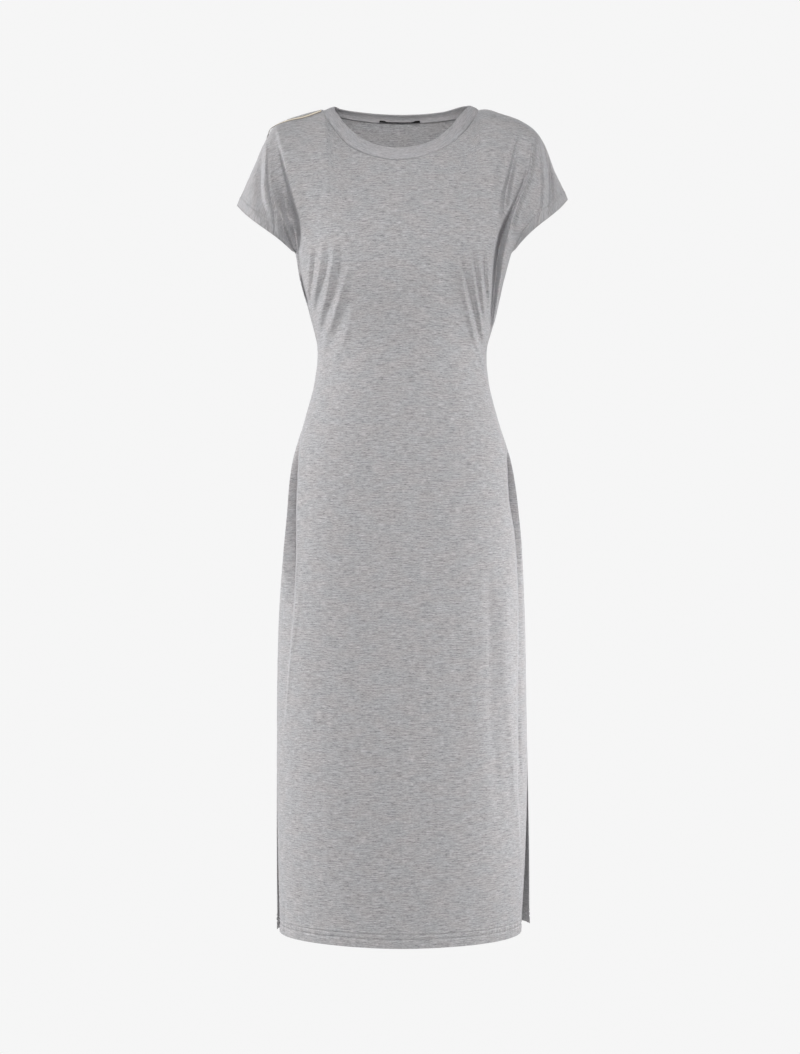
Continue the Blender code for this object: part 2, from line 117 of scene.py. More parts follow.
YOKE = {
    "front": (
        (0.0, 0.12, 0.05, 0.11), (0.22, 0.13, 0.075, 0.11), (0.36, 0.19, 0.11, 0.09),
        (0.44, 0.26, 0.16, 0.03), (0.6, 0.25, 0.18, 0.0), (0.8, 0.18, 0.19, 0.0),
        (1.0, 0.11, 0.23, 0.0),
    ),
    "back": (
        (0.0, 0.19, 0.085, 0.18), (0.22, 0.2, 0.1, 0.16), (0.36, 0.23, 0.125, 0.11),
        (0.44, 0.26, 0.175, 0.02), (0.6, 0.25, 0.19, 0.0), (0.8, 0.18, 0.19, 0.0),
        (1.0, 0.11, 0.23, 0.0),
    ),
}
NECK_SHARE = 0.44
# Below the corner where neck and shoulder meet, the back runs on as a soft round.
CORNER_STEPS, CORNER_REACH, CORNER_RISE = np.linspace(-0.07, 0.07, 9), 0.09, (0.72, 1.0)
CUFF_BLEND_START = 0.70
SLIT_EDGES = {
    ("front", "left"): {"x": 0.004, "y": -0.006},
    ("front", "right"): {"x": -0.013, "y": -0.003},
    ("back", "left"): {"x": -0.001, "y": 0.01},
    ("back", "right"): {"x": 0.003, "y": 0.053},
}
SLIT_GROWTH, SLIT_REACH = 1.4, 0.70

# Folds. Places are on the plane through the origin as the camera sees it, in units of 1.45 mm from the top
# left of the view. A fold has widths to its left and right, and rows of x, y and height in mm (negative for a
# trough). A row can have widths of its own. Most folds fall off to both sides. A recess lies to the left of
# its line only: it drops over the width to the right and comes back over the one to the left.
UNIT, MILLIMETRE = 0.00145, 0.001
VIEW_CENTRE = (400.0, 527.0)
VIEW_X, VIEW_Z, VIEW_DISTANCE = -0.003, -0.6076, 3.0
CREASE_STEP, CREASE_END = 12, 2
# For each peak of a crease, the heights on the way up to it and down from it.
CREASE_RAMPS = {
    6.1: (2.7, 4.5, 4.9, 3.1), 5.6: (2.5, 4.1, 4.5, 2.8), 5.4: (2.5, 4, 4.3, 2.7), 5.3: (2.3, 3.8, 4.3, 2.6),
    4.9: (2.3, 3.6, 4, 2.5), 4.7: (2.2, 3.4, 3.8, 2.3), 4.3: (2, 3.1, 3.5, 2.1), 3: (1.3, 2.1, 2.3, 1.5),
    2.6: (1.2, 2, 2.1, 1.3),
}


def fold(widths, *rows, recess=False):
    """A fold with full rows: a row without widths of its own takes the fold's."""
    return recess, [row if len(row) == 5 else row + widths for row in rows]


def crease(widths, top, peak, *xs):
    """A fold at the waist that rises to its peak and falls again, in even steps of y but for both ends."""
    sign, tall = (1 if peak > 0 else -1), abs(peak)
    low, high, late, last = CREASE_RAMPS[tall]
    heights = [0, low, high, *[tall] * (len(xs) - 6), late, last, 0]
    extra = [0, *[CREASE_END] * (len(xs) - 2), 2 * CREASE_END]
    ys = [top + CREASE_STEP * k + more for k, more in enumerate(extra)]
    return fold(widths, *[(x, y, sign * height) for x, y, height in zip(xs, ys, heights)])


FRONT_FOLDS = (
    # left sleeve: recess behind the body's edge
    fold((4, 1.6), (276.5, 126, 0), (278.4, 139, -6, 7, 1.6), (282.4, 156, -14, 12, 1.8),
        (286.2, 172.5, -20, 16, 1.8), (290.2, 188, -27, 17, 2.2), (294.6, 202, -33, 17, 3.2),
        (299.8, 218, -40, 16, 3.6), (302.2, 236, -42, 15, 2.4), (302.3, 248, -28, 13, 1.8),
        (301.5, 262, -14, 9, 1.6), (301, 278, 0, 6, 1.6), recess=True),
    fold((1.4, 6), (278.4, 128, 0, 1.4, 5), (280.2, 141, 3, 1.4, 5), (287.2, 172, 5), (295.2, 202, 6),
        (301, 222, 6), (303.5, 244, 5), (302.5, 262, 3, 1.4, 5), (304, 280, 0, 2, 5)),
    fold((1.5, 4), (267, 137, 0, 1.6, 4), (266, 154, 6), (265, 170, 9), (264.2, 187, 9, 1.7, 4.5),
        (266, 197, 5.5, 2.6, 5), (269, 210, 2, 3, 4), (271, 222, 0, 3, 3)),
    fold((4, 1.3), (263.5, 138, 0), (262.4, 154, -11, 5.5, 1.3), (261.2, 170, -17, 6.5, 1.3),
        (260.4, 185, -17, 7, 1.4), (261, 198, -12, 8, 2), (263.5, 210, -9, 9, 3), (267, 222, -5, 8, 3),
        (271, 232, 0, 6, 3)),
    fold((1.4, 1.6), (268.5, 137, 0), (268, 152, -3.5), (268, 170, -4.5), (268.5, 183, -5), (271, 197, -6),
        (273.7, 210, -7), (274.6, 222, -6), (275, 231, -4), (276, 239, 0)),
    fold((1.8, 1.8), (279, 205, 0), (283, 216, 5, 1.6, 1.8), (286.5, 227, 9, 1.5, 1.8),
        (290.5, 238, 10, 1.4, 1.7), (294.5, 248, 8, 1.4, 1.6), (297, 256, 0, 1.6, 1.6)),
    fold((2, 1.5), (280.5, 218, 0), (283.6, 229, -9, 2.4, 1.6), (287.4, 239, -11, 2.2, 1.6),
        (291.2, 247.5, -9, 1.8, 1.5), (295, 256, 0, 1.4, 1.4)),
    fold((3, 3), (281, 188, 0), (284.6, 203, -9), (287.4, 215, -13), (290, 226, 0)),
    fold((2, 2), (292, 220, 0), (294.6, 230, -7, 2.4, 2.2), (296, 239, -8, 2.2, 2), (298, 250, 0)),
    fold((2, 2), (256, 208, 0), (262, 217, -4), (267, 225, -5), (272, 232, -4), (277, 239, 0)),
    # the cloth lies flat beside the neck, at both sides
    fold((4, 4), (327, 112, 0), (331, 125, 6, 4, 5), (334, 140, 6.4, 6, 7), (338, 160, 6.4, 7.5, 9),
        (341, 185, 2.4, 8, 9), (344, 205, 0, 8, 8)),
    fold((4, 4), (472, 116, 0), (472, 128, 5, 5, 4), (473, 140, 6, 6.5, 6), (473, 160, 3.6, 7, 6),
        (474, 180, 0, 7, 7)),
    # left chest
    fold((4, 5), (299, 138, 0), (304, 160, 0.9), (309, 185, 0.7), (313, 205, 0)),
    # right sleeve
    fold((1.8, 1.2), (519.5, 126, 0), (516, 140, 5), (512.4, 152, 7, 2, 1.2), (508.4, 170.4, 7, 2.4, 1.3),
        (505, 187, 4.5, 3.5, 1.5), (501.5, 204, 3.2, 4.5, 2), (498, 222, 2.6, 5, 2.2),
        (495, 245, 2.4, 5.5, 2.2), (492.5, 275, 2, 5.5, 2), (491, 310, 0, 5, 2)),
    fold((1.4, 2.4), (519, 134, 0), (514.8, 152, -7, 1.5, 2.6), (511.8, 166, -12, 1.8, 3),
        (508.4, 180, -18, 2, 3.6), (505, 194, -19, 2, 4.4), (503.6, 206, -16, 2, 5), (502, 218, -6, 2, 4),
        (499.5, 229, 0, 2, 3)),
    fold((1.4, 1.1), (528, 167, 0), (525.5, 178, -4), (521.5, 188, -6), (517.5, 198, -8, 1.6, 1.2),
        (513.4, 208, -12, 2, 1.4), (509.2, 218, -24, 3, 1.8), (505.2, 228, -40, 3.4, 2.8),
        (502, 237, -54, 3.4, 3.4), (499.1, 248, -60, 3.2, 3.8), (496.7, 262, -62, 3.1, 3.8),
        (495.4, 276, -58, 3, 3.6), (493.9, 292, -44, 2.6, 2.8), (492.2, 310, -30, 2.6, 2.2),
        (490.6, 326, -20, 3, 2), (488.2, 340, -6, 2.4, 2), (487, 352, 0, 2, 2)),
    fold((8, 3), (503, 212, 0, 6, 3), (498, 232, -8, 7, 3), (494, 250, -8), (491, 268, -6),
        (490, 290, -3, 5, 2), (489, 312, 0, 4, 2)),
    fold((1.6, 5), (533.5, 138, 0, 1.6, 2), (532.5, 150, 5, 1.5, 2.2), (530.8, 165, 6, 1.5, 2.8),
        (528.6, 176, 7, 1.5, 3.2), (524.5, 187, 7, 1.6, 4), (519.5, 198, 7), (514.5, 209, 6.5),
        (509.5, 222, 6), (505, 238, 5, 1.6, 4.5), (501.5, 256, 3.5, 1.6, 4), (499, 280, 2, 1.6, 3.5),
        (497, 305, 0, 1.6, 3)),
    fold((2.4, 1.3), (538, 134, 0), (540.5, 148, 6), (543.4, 165, 9), (544.6, 180, 10),
        (543.6, 203, 9, 2.2, 1.6), (539.5, 217, 6, 2, 2), (534, 229, 0, 2, 2)),
    fold((2.2, 3.6), (541, 138, 0, 1.4, 2.2), (544.6, 150, -14, 1.5, 2.4), (547, 162, -22, 1.7, 2.8),
        (549.6, 176, -28, 2, 3.2), (550.4, 192, -24), (549.4, 206, -14), (546, 220, 0, 2, 3)),
    fold((4, 4), (499.5, 140, 0), (497, 165, 1.5), (492, 190, 1.3, 5, 4), (488, 206, 0)),
    # waist, left: creases that gather into the side
    fold((1.3, 1.4), (297.5, 246, 0, 1.3, 1.3), (299.2, 258, -12), (301, 272, -4), (302.4, 286, -9),
        (307.6, 300, -7), (310, 308, 0, 1.3, 1.3)),
    fold((1.5, 1.5), (309.6, 288, 0, 1.3, 1.3), (310.6, 300, -5), (311.8, 312, -8, 1.6, 1.6),
        (314.0, 325, -8), (316.5, 342, 0, 1.4, 1.4)),
    crease((1.8, 1.8), 238, 4.9, 311.7, 310.5, 309.5, 308.5, 308, 307.4),
    crease((1.9, 2.2), 238, 5.3, 323.2, 321.5, 320, 318, 315.5, 313, 310.1),
    crease((1.9, 2.6), 238, 5.6, 334.2, 333, 332, 329, 327.5, 325, 321, 319, 316.7),
    crease((2, 3.2), 262, 5.3, 350.7, 346, 342, 338.5, 335, 331, 326, 324, 321.7),
    crease((2.6, 4), 298, 3, 355.5, 352, 349, 345, 341, 335, 328),
    crease((1.8, 1.8), 238, -4.3, 317.2, 315.5, 314, 312.5, 311.5, 310, 308.2),
    crease((1.9, 1.9), 238, -4.9, 328.7, 327.5, 326.5, 324, 321, 318, 315.5, 315.5, 315.5),
    crease((2.2, 2), 238, -4.3, 340.1, 339.5, 339, 337, 334.5, 331.5, 327.5, 324.5, 321, 316.9),
    crease((3, 2.4), 286, -2.6, 348.9, 346, 343.5, 339.5, 335, 331, 326.3),
    # waist, right
    crease((2.6, 1.7), 238, 6.1, 457, 458.2, 459.2, 462.2, 464.2, 466.2, 469.2, 472.2, 474.2, 478.2, 481.2,
        484.7),
    crease((1.8, 1.6), 238, 6.1, 466.9, 469.2, 471.2, 473.2, 475.2, 477.2, 479.2, 481.2, 483.2, 485.5),
    crease((1.5, 1.5), 238, 5.4, 477, 478.2, 479.2, 481.2, 482.2, 483.2, 484.2, 485.4),
    crease((1.5, 1.5), 238, 4.7, 485, 486.2, 487.2, 488.2, 489.2, 490.2, 490.2, 490.2),
    crease((1.7, 1.8), 238, -5.4, 463.2, 463.2, 463.2, 466.2, 469.2, 472.2, 475.2, 477.2, 479.2, 482.2,
        485.7),
    crease((1.5, 1.5), 238, -4.7, 470.9, 473.2, 475.2, 477.2, 478.2, 480.2, 482.2, 484.5),
    crease((1.5, 1.5), 238, -5.4, 482, 483.2, 484.2, 485.2, 486.2, 487.2, 487.2, 487.2, 486.2, 485),
    # hip, left
    fold((3, 2), (301, 570, 0), (297.7, 611, 1.8, 3, 1.8), (293.4, 636.5, 2.0, 2.6, 1.8),
        (289, 671, 2.0, 2.2, 1.8), (287, 705, 1.4, 2, 1.8), (286, 740, 0, 2, 2)),
    # hip, right
    fold((7, 5), (508, 560, 0, 6, 5), (508, 600, 3.0), (506.5, 660, 3.6), (509, 710, 2.8, 6, 4),
        (512, 745, 2.4, 4, 2.4), (514.5, 787, 2.4, 3, 2), (518.3, 827, 2.2, 2.4, 1.8),
        (520.6, 858, 1.4, 2, 1.6), (522, 890, 0, 2, 1.6)),
    fold((5, 5), (489, 560, 0), (489, 602, -2.4), (491, 650, -2.0), (491, 700, -2.0, 5, 6),
        (493, 750, -2.4, 6, 6), (498, 800, -1.6, 6, 6), (503, 850, 0, 6, 6)),
    fold((1.6, 2), (518, 576, 0, 3, 3), (518, 610, -3.0, 3, 4), (517, 671, -2.8, 3.4, 4),
        (517.6, 720, -2.4, 2.4, 3), (519, 760, -3.0), (521.6, 782, 0)),
    fold((1.6, 1.2), (486.8, 616, 0), (486.8, 645, 0.9, 1.8, 1.2), (486.6, 676, 0)),
    # left corner of the hem
    fold((1.4, 1.4), (285.2, 886, 0), (285, 904, -2.4), (284.4, 930, -2.4), (283.8, 946, -1.8)),
    # soft hollows that the eye hardly sees
    fold((14, 14), (330, 560, 0), (326, 680, -1.2), (322, 820, 0)),
    fold((12, 12), (455, 600, 0), (457, 700, -0.9), (460, 830, 0)),
)
BACK_FOLDS = (
    # the cloth lies flat beside the neck, at both sides
    fold((10, 10), (322, 108, 0, 7, 7), (323, 118, 4.5, 8, 8), (323, 140, 4.5, 9, 9), (324, 165, 3),
        (326, 200, 0)),
    fold((10, 10), (482, 108, 0, 7, 7), (482, 118, 5.5, 8, 8), (482, 140, 5, 9, 9), (482, 165, 2.5),
        (480, 200, 0)),
    fold((6, 6), (277, 128, 0), (284, 160, -8, 8, 6), (290, 200, -16, 9, 7), (296, 240, -17, 8, 7),
        (300, 280, -6), (303, 310, 0, 5, 5)),
    fold((4, 8), (288, 130, 0), (296, 170, 2), (303, 215, 3, 4, 9), (307, 250, 2, 4, 9), (310, 280, 0)),
    fold((6, 6), (527, 128, 0), (523, 160, -8, 6, 8), (515, 200, -16, 7, 9), (507, 240, -17, 7, 8),
        (504, 280, -6), (502, 310, 0, 5, 5)),
    fold((8, 4), (514, 130, 0), (507, 170, 2), (499, 215, 3, 9, 4), (495, 250, 2, 9, 4), (492, 280, 0)),
    fold((8, 8), (374, 262, 0), (376, 330, -6), (377, 410, -4), (379, 450, 0)),
    fold((8, 8), (433, 268, 0), (430, 335, -6), (429, 405, -4), (427, 448, 0)),
    fold((4, 3), (362, 270, 0), (364, 330, 2.2), (366, 400, 1.4), (368, 440, 0)),
    fold((3, 4), (444, 276, 0), (442, 335, 2.2), (440, 400, 1.4), (438, 440, 0)),
    fold((4, 4), (337, 268, 0), (329, 310, -4.5), (321, 342, 0, 3, 3)),
    fold((2, 2), (346, 262, 0), (338, 300, 2.2), (327, 342, 1.6), (322, 366, 0)),
    fold((1.8, 1.8), (325, 256, 0, 2, 2), (320, 290, 2.2), (316, 326, 0)),
    fold((4, 4), (466, 266, 0), (474, 308, -4.5), (483, 342, 0, 3, 3)),
    fold((2, 2), (457, 260, 0), (466, 300, 2.2), (477, 342, 1.6), (483, 366, 0)),
    fold((1.8, 1.8), (478, 254, 0, 2, 2), (483, 290, 2.2), (487, 326, 0)),
    fold((8, 8), (319, 452, 0), (317, 560, -3.5, 9, 9), (312, 700, 0)),
    fold((8, 8), (478, 465, 0), (481, 580, -3.5, 9, 9), (486, 728, 0)),
    fold((14, 14), (352, 560, 0), (350, 700, 2.4, 16, 16), (346, 940, 2.8, 18, 18)),
    fold((12, 12), (398, 520, 0), (400, 680, -1.8, 14, 14), (402, 940, -2.4, 16, 16)),
    fold((14, 14), (450, 580, 0), (452, 720, 2.2, 16, 16), (456, 940, 2.6, 18, 18)),
    fold((8, 8), (320, 150, 0), (340, 200, 1.4, 9, 9), (352, 250, 0)),
    fold((8, 8), (484, 150, 0), (464, 200, 1.4, 9, 9), (452, 250, 0)),
)
FOLDS = {"front": FRONT_FOLDS, "back": BACK_FOLDS}


def hermite(t, start, leave, end, arrive):
    from_start = (2 * t**3 - 3 * t**2 + 1) * start + (t**3 - 2 * t**2 + t) * leave
    return from_start + ((3 * t**2 - 2 * t**3) * end + (t**3 - t**2) * arrive)


def smoothstep(low, high, value):
    t = np.clip((value - low) / (high - low), 0.0, 1.0)
    return t * t * (3 - 2 * t)


def bell(distance, width):
    return np.exp(-((distance / width) ** 2))


def smooth_column(places, values, at):
    """Read a smooth curve through (places, values), with the slopes of its neighbours, at an array."""
    places, values = np.asarray(places, float), np.asarray(values, float)
    slopes = np.gradient(values, places)
    k = np.clip(np.searchsorted(places, at) - 1, 0, len(places) - 2)
    span = places[k + 1] - places[k]
    t = np.clip((at - places[k]) / span, 0.0, 1.0)
    return hermite(t, values[k], span * slopes[k], values[k + 1], span * slopes[k + 1])


def column(table, names, name):
    return np.array([row[names.index(name)] for row in table])


def read_table(table, names, at):
    places = column(table, names, names[0])
    return {name: smooth_column(places, column(table, names, name), at) for name in names[1:]}


def along(table, names, share):
    """Read every column of a table of points at a share, 0 to 1, of the length of the line through them."""
    points = np.array([[row[names.index(axis)] for axis in POINT_COLUMNS] for row in table])
    steps = np.linalg.norm(np.diff(points, axis=0), axis=1)
    places = np.concatenate(([0.0], np.cumsum(steps))) / steps.sum()
    return [smooth_column(places, column(table, names, name), share) for name in names]


def unit(vectors):
    return vectors / np.maximum(np.linalg.norm(vectors, axis=-1, keepdims=True), 1e-9)


def stack(x, y, z):
    return np.stack(np.broadcast_arrays(x, y, z), axis=-1).astype(float)


def section_point(side, u, height):
    z = HEM_Z + height * BODY_HEIGHT
    size = read_table(SECTIONS, SECTION_COLUMNS, z)
    angle = u * math.pi / 2
    power = 2 / size["squareness"]
    width = np.where(u < 0, size["left"], size["right"])
    x = np.sign(angle) * width * np.abs(np.sin(angle)) ** power
    y = size[side] * np.abs(np.cos(angle)) ** power * (-1 if side == "front" else 1)
    return stack(x, y, z) + slit_offset(side, u, z)


def slit_offset(side, u, z):
    depth = np.clip((SLIT_TOP_Z - z) / (SLIT_TOP_Z - HEM_Z), 0.0, 1.0) ** SLIT_GROWTH
    offset = np.zeros(np.broadcast(u, z).shape + (3,))
    for hand, sign in SIGNS.items():
        edge = SLIT_EDGES[side, hand]
        weight = depth * smoothstep(1 - SLIT_REACH, 1.0, u * sign)
        offset += stack(edge["x"] * weight, edge["y"] * weight, 0.0)
    return offset


def top_point(side, u):
    neck_share = (np.clip(u / NECK_SHARE, -1.0, 1.0) + 1) / 2
    point = stack(*along(NECK_SEAM[side], POINT_COLUMNS, neck_share))
    across = stack(np.zeros_like(u), np.ones_like(u), np.zeros_like(u))
    for hand, sign in SIGNS.items():
        share = np.clip((u * sign - NECK_SHARE) / (1 - NECK_SHARE), 0.0, 1.0)
        x, y, z, lean = along(SHOULDER_SEAM[hand], SHOULDER_COLUMNS, share)
        near = along(SHOULDER_SEAM[hand], SHOULDER_COLUMNS, np.clip(share - LINE_STEP, 0.0, 1.0))
        far = along(SHOULDER_SEAM[hand], SHOULDER_COLUMNS, np.clip(share + LINE_STEP, 0.0, 1.0))
        fall = np.arctan2(near[2] - far[2], (far[0] - near[0]) * sign)
        angle = np.radians(lean)
        outward = stack(sign * np.sin(fall), 0.0, np.cos(fall))
        leaning = stack(0.0, np.cos(angle), 0.0) + outward * np.sin(angle)[..., None]
        beyond = (u * sign > NECK_SHARE)[..., None]
        point = np.where(beyond, stack(x, y, z), point)
        faded = smoothstep(0.0, NECK_SHARE, u * sign)[..., None]
        across = across * (1 - faded) + leaning * faded
    return point, across


def yoke_point(side, u, rise):
    ahead = -1 if side == "front" else 1
    flow = read_table(YOKE[side], YOKE_COLUMNS, np.abs(u))
    start = section_point(side, u, np.ones_like(u))
    climb = unit(start - section_point(side, u, np.full_like(u, 1 - LINE_STEP)))
    end, across = top_point(side, u)
    if side == "back":
        near = [top_point(side, np.clip(u + step, -1.0, 1.0))[0] for step in CORNER_STEPS]
        calm = bell(np.abs(u) - NECK_SHARE, CORNER_REACH) * (1 - smoothstep(*CORNER_RISE, rise))
        end = end + (sum(near) / len(near) - end) * calm[..., None]
    leave = climb * flow["climb"][..., None]
    arrive = across * (-ahead * flow["across"])[..., None] + stack(0.0, 0.0, flow["up"])
    for hand, sign in SIGNS.items():
        cuff = CUFFS[side, hand]
        bulge = 4 * ahead * cuff["bulge"]
        low_swing, high_swing = [np.array([0.0, bulge, 4 * lift]) for lift in cuff["rise"]]
        chord = end - start
        weight = smoothstep(CUFF_BLEND_START, 1.0, u * sign)[..., None]
        leave = leave * (1 - weight) + (chord + low_swing) * weight
        arrive = arrive * (1 - weight) + (chord - high_swing) * weight
    return hermite(rise[..., None], start, leave, end, arrive)


def plain_point(side, u, height):
    """Point of a panel without its folds; height is 0 at the hem, 1 at the underarm and 2 at the top edge."""
    u, height = np.broadcast_arrays(np.asarray(u, float), np.asarray(height, float))
    body = section_point(side, u, np.clip(height, 0.0, 1.0))
    yoke = yoke_point(side, u, np.clip(height - 1, 0.0, 1.0))
    return np.where((height <= 1)[..., None], body, yoke)


def normal_at(side, u, height):
    """Outward direction of a panel."""
    low_u, high_u = np.clip(u - SURFACE_STEP, -1, 1), np.clip(u + SURFACE_STEP, -1, 1)
    low, high = np.clip(height - SURFACE_STEP, 0, 2), np.clip(height + SURFACE_STEP, 0, 2)
    round_panel = plain_point(side, high_u, height) - plain_point(side, low_u, height)
    up_panel = plain_point(side, u, high) - plain_point(side, u, low)
    normal = np.cross(round_panel, up_panel)
    if side == "back":
        normal = -normal
    return unit(normal)


def seen(side, point):
    """Where the camera sees a point of the front, or where a point of the back lies, in the folds' units."""
    scale = VIEW_DISTANCE / (VIEW_DISTANCE + point[..., 1]) if side == "front" else 1.0
    x = VIEW_CENTRE[0] + (point[..., 0] - VIEW_X) * scale / UNIT
    y = VIEW_CENTRE[1] - (point[..., 2] - VIEW_Z) * scale / UNIT
    return x, y


def one_fold(recess, rows, x, y):
    """Height in mm of a fold at places x, y."""
    best = np.full(x.shape, np.inf)
    total = np.zeros(x.shape)
    for first, second in zip(rows[:-1], rows[1:]):
        run_x, run_y = second[0] - first[0], second[1] - first[1]
        length = math.hypot(run_x, run_y)
        share = np.clip(((x - first[0]) * run_x + (y - first[1]) * run_y) / length**2, 0.0, 1.0)
        from_x, from_y = x - first[0] - share * run_x, y - first[1] - share * run_y
        off = np.hypot(from_x, from_y)
        right = from_x * run_y - from_y * run_x > 0
        height, left_width, right_width = [first[k] + (second[k] - first[k]) * share for k in (2, 3, 4)]
        if recess:
            value = height * (1 - bell(off, right_width)) * bell(off, left_width) * ~right
        else:
            value = height * bell(off, np.where(right, right_width, left_width))
        total = np.where(off < best, value, total)
        best = np.minimum(best, off)
    return total


# Folds fade out over these shares of the panel's half width at the side seams, and of the yoke at the top.
FADE_SIDE, FADE_TOP = 0.06, 0.12
# Heights over which the side seam ends and the cuff begins: 1 is the underarm and 2 the top edge.
SEWN_END, CUFF_BEGIN = (1.0, 1.12), (1.0, 1.06)
# Near a cuff, folds keep this share of their height at the edge; the rest comes back over these metres.
CUFF_KEEP, CUFF_REACH = 0.5, 0.014


def fold_height(side, point, u, height):
    x, y = seen(side, point)
    total = np.zeros(x.shape)
    for recess, rows in FOLDS[side]:
        xs, ys = [row[0] for row in rows], [row[1] for row in rows]
        reach = 3 * max(max(row[3:]) for row in rows)
        near = (x > min(xs) - reach) & (x < max(xs) + reach) & (y > min(ys) - reach) & (y < max(ys) + reach)
        if near.any():
            total[near] += one_fold(recess, rows, x[near], y[near])
    sewn = 1 - smoothstep(*SEWN_END, height)
    side_fade = 1 - sewn * (1 - smoothstep(0.0, FADE_SIDE, 1 - np.abs(u)))
    lost = smoothstep(*CUFF_BEGIN, height) * (1 - CUFF_KEEP)
    for hand in SIGNS:
        side_fade = side_fade - lost * bell(from_side(side, hand, u, height), CUFF_REACH)
    return total * MILLIMETRE * side_fade * smoothstep(0.0, FADE_TOP, 2 - height)


# At the hips and the left of the waist the front turns back over an edge, runs behind the side seam and comes
# out to it again. Rows: y and x of the edge, mm behind the seam at the bottom, and how much of it there is.
TUCK_COLUMNS = ("y", "x", "behind", "share")
TUCKS = (
    ("left", (
        (258, 300.5, 0, 0.0), (268, 301.5, 3, 0.6), (284, 304.2, 5, 0.9), (300, 308.6, 4, 0.7),
        (314, 311.5, 0, 0.0),
    )),
    ("left", (
        (405, 305.0, 0, 0.0), (430, 302.5, 4, 0.1), (448, 300.5, 8, 0.55), (470, 299.0, 10, 0.85),
        (500, 297.5, 12, 0.95), (560, 297.0, 12, 0.8), (600, 295.5, 8, 0.45), (640, 292.0, 6, 0.22),
        (700, 287.0, 2, 0.08), (760, 282.0, 0, 0.0),
    )),
    ("right", (
        (405, 499.0, 0, 0.0), (428, 502.0, 4, 0.15), (445, 504.5, 8, 0.6), (464, 506.0, 10, 0.9),
        (500, 508.0, 12, 0.95), (535, 513.5, 10, 0.85), (576, 516.0, 8, 0.6), (620, 517.0, 5, 0.4),
        (700, 516.5, 5, 0.35), (800, 517.5, 3, 0.25), (860, 521.0, 0, 0.0),
    )),
)
TUCK_SHARP = 1.6


def tuck_depth(point, height):
    """How far a point of the front is drawn back by the tucks, in metres."""
    x, y = seen("front", point)
    total = np.zeros(x.shape)
    for hand, table in TUCKS:
        sign = SIGNS[hand]
        rows = read_table(table, TUCK_COLUMNS, y)
        within = (y > table[0][0]) & (y < table[-1][0])
        share = np.clip(rows["share"], 0.0, 1.0) * within
        seam = edge_point("front", hand, height)
        seam_x = seen("front", seam)[0]
        beyond = (x - rows["x"]) * sign
        run = np.clip(beyond / np.maximum((seam_x - rows["x"]) * sign, 1.0), 0.0, 1.0)
        target = seam[..., 1] + np.maximum(rows["behind"], 0.0) * MILLIMETRE * (1 - run)
        drop = share * smoothstep(0.0, TUCK_SHARP, beyond) * np.maximum(target - point[..., 1], 0.0)
        total = np.maximum(total, drop)
    return total


# ---- Sewn edges, in metres

# An edge's width, how far it stands up and how softly it ends, its stitch rows and how deep they press in, as
# a multiple of a groove.
HEM = {"width": 0.0215, "raised": 0.0006, "soft": 0.0016, "rows": (0.0116, 0.0183), "deep": 2.2}
CUFF = {"width": 0.0160, "raised": 0.0011, "soft": 0.0015, "rows": (0.0142,), "deep": 2.6}
SLIT = {"width": 0.0100, "raised": 0.0005, "soft": 0.0010, "rows": (0.0085,), "deep": 2.0}
TURN_START = 0.001
ROLL, LAYER = 0.00055, 0.0011
INTO_CLOTH, TURN_FROM, EDGE_OVERLAP = 0.0012, 0.0008, 0.004
GROOVE_DEPTH, GROOVE_WIDTH = 0.00055, 0.0011
SEAM_DEPTH, SEAM_WIDTH = 0.0009, 0.0019
NECK_DEPTH, NECK_WIDTH = 0.0022, 0.0013
# Puckers: their height, the place and reach of those at the hem, side seams and cuffs, and their waves.
PUCKER, HEM_PUCKER, SEAM_PUCKER, CUFF_PUCKER = 0.00022, (0.0150, 0.007), (0.003, 0.006), 0.005
HEM_WAVE, HEM_SWAY, HEM_OVERTONE, SIDE_WAVE, SIDE_SWAY, CUFF_WAVE = 905, 271, 1630, 1180, 260, 330
SLIT_FADE, CUFF_OPENS = 0.012, (1.02, 1.06)
YOKE_LENGTH = 0.2
SPEED_REACH = 0.03


def edge_point(side, hand, heights):
    return plain_point(side, np.full_like(heights, SIGNS[hand] * 1.0), heights)


def side_speed(side, hand, heights):
    """Metres of cloth for a unit of u at a panel's side."""
    inner = plain_point(side, np.full_like(heights, SIGNS[hand] * (1 - SPEED_REACH)), heights)
    return np.linalg.norm(edge_point(side, hand, heights) - inner, axis=-1) / SPEED_REACH


SPEED_PLACES = np.linspace(0.0, 2.0, 161)
SPEEDS = {(side, hand): side_speed(side, hand, SPEED_PLACES) for side in SIDES for hand in SIGNS}


def speed_at(side, hand, height):
    return np.interp(height, SPEED_PLACES, SPEEDS[side, hand])


def from_side(side, hand, u, height):
    """Metres of cloth from a panel's side edge."""
    return (1 - u * SIGNS[hand]) * speed_at(side, hand, height)


def turned(edge, distance):
    """A turned edge stands up as far as it is wide, with its stitch rows pressed in."""
    width = edge["width"]
    relief = edge["raised"] * (1 - smoothstep(width - TURN_START, width + edge["soft"], distance))
    for row in edge["rows"]:
        relief = relief - edge["deep"] * GROOVE_DEPTH * bell(distance - row, GROOVE_WIDTH)
    return relief


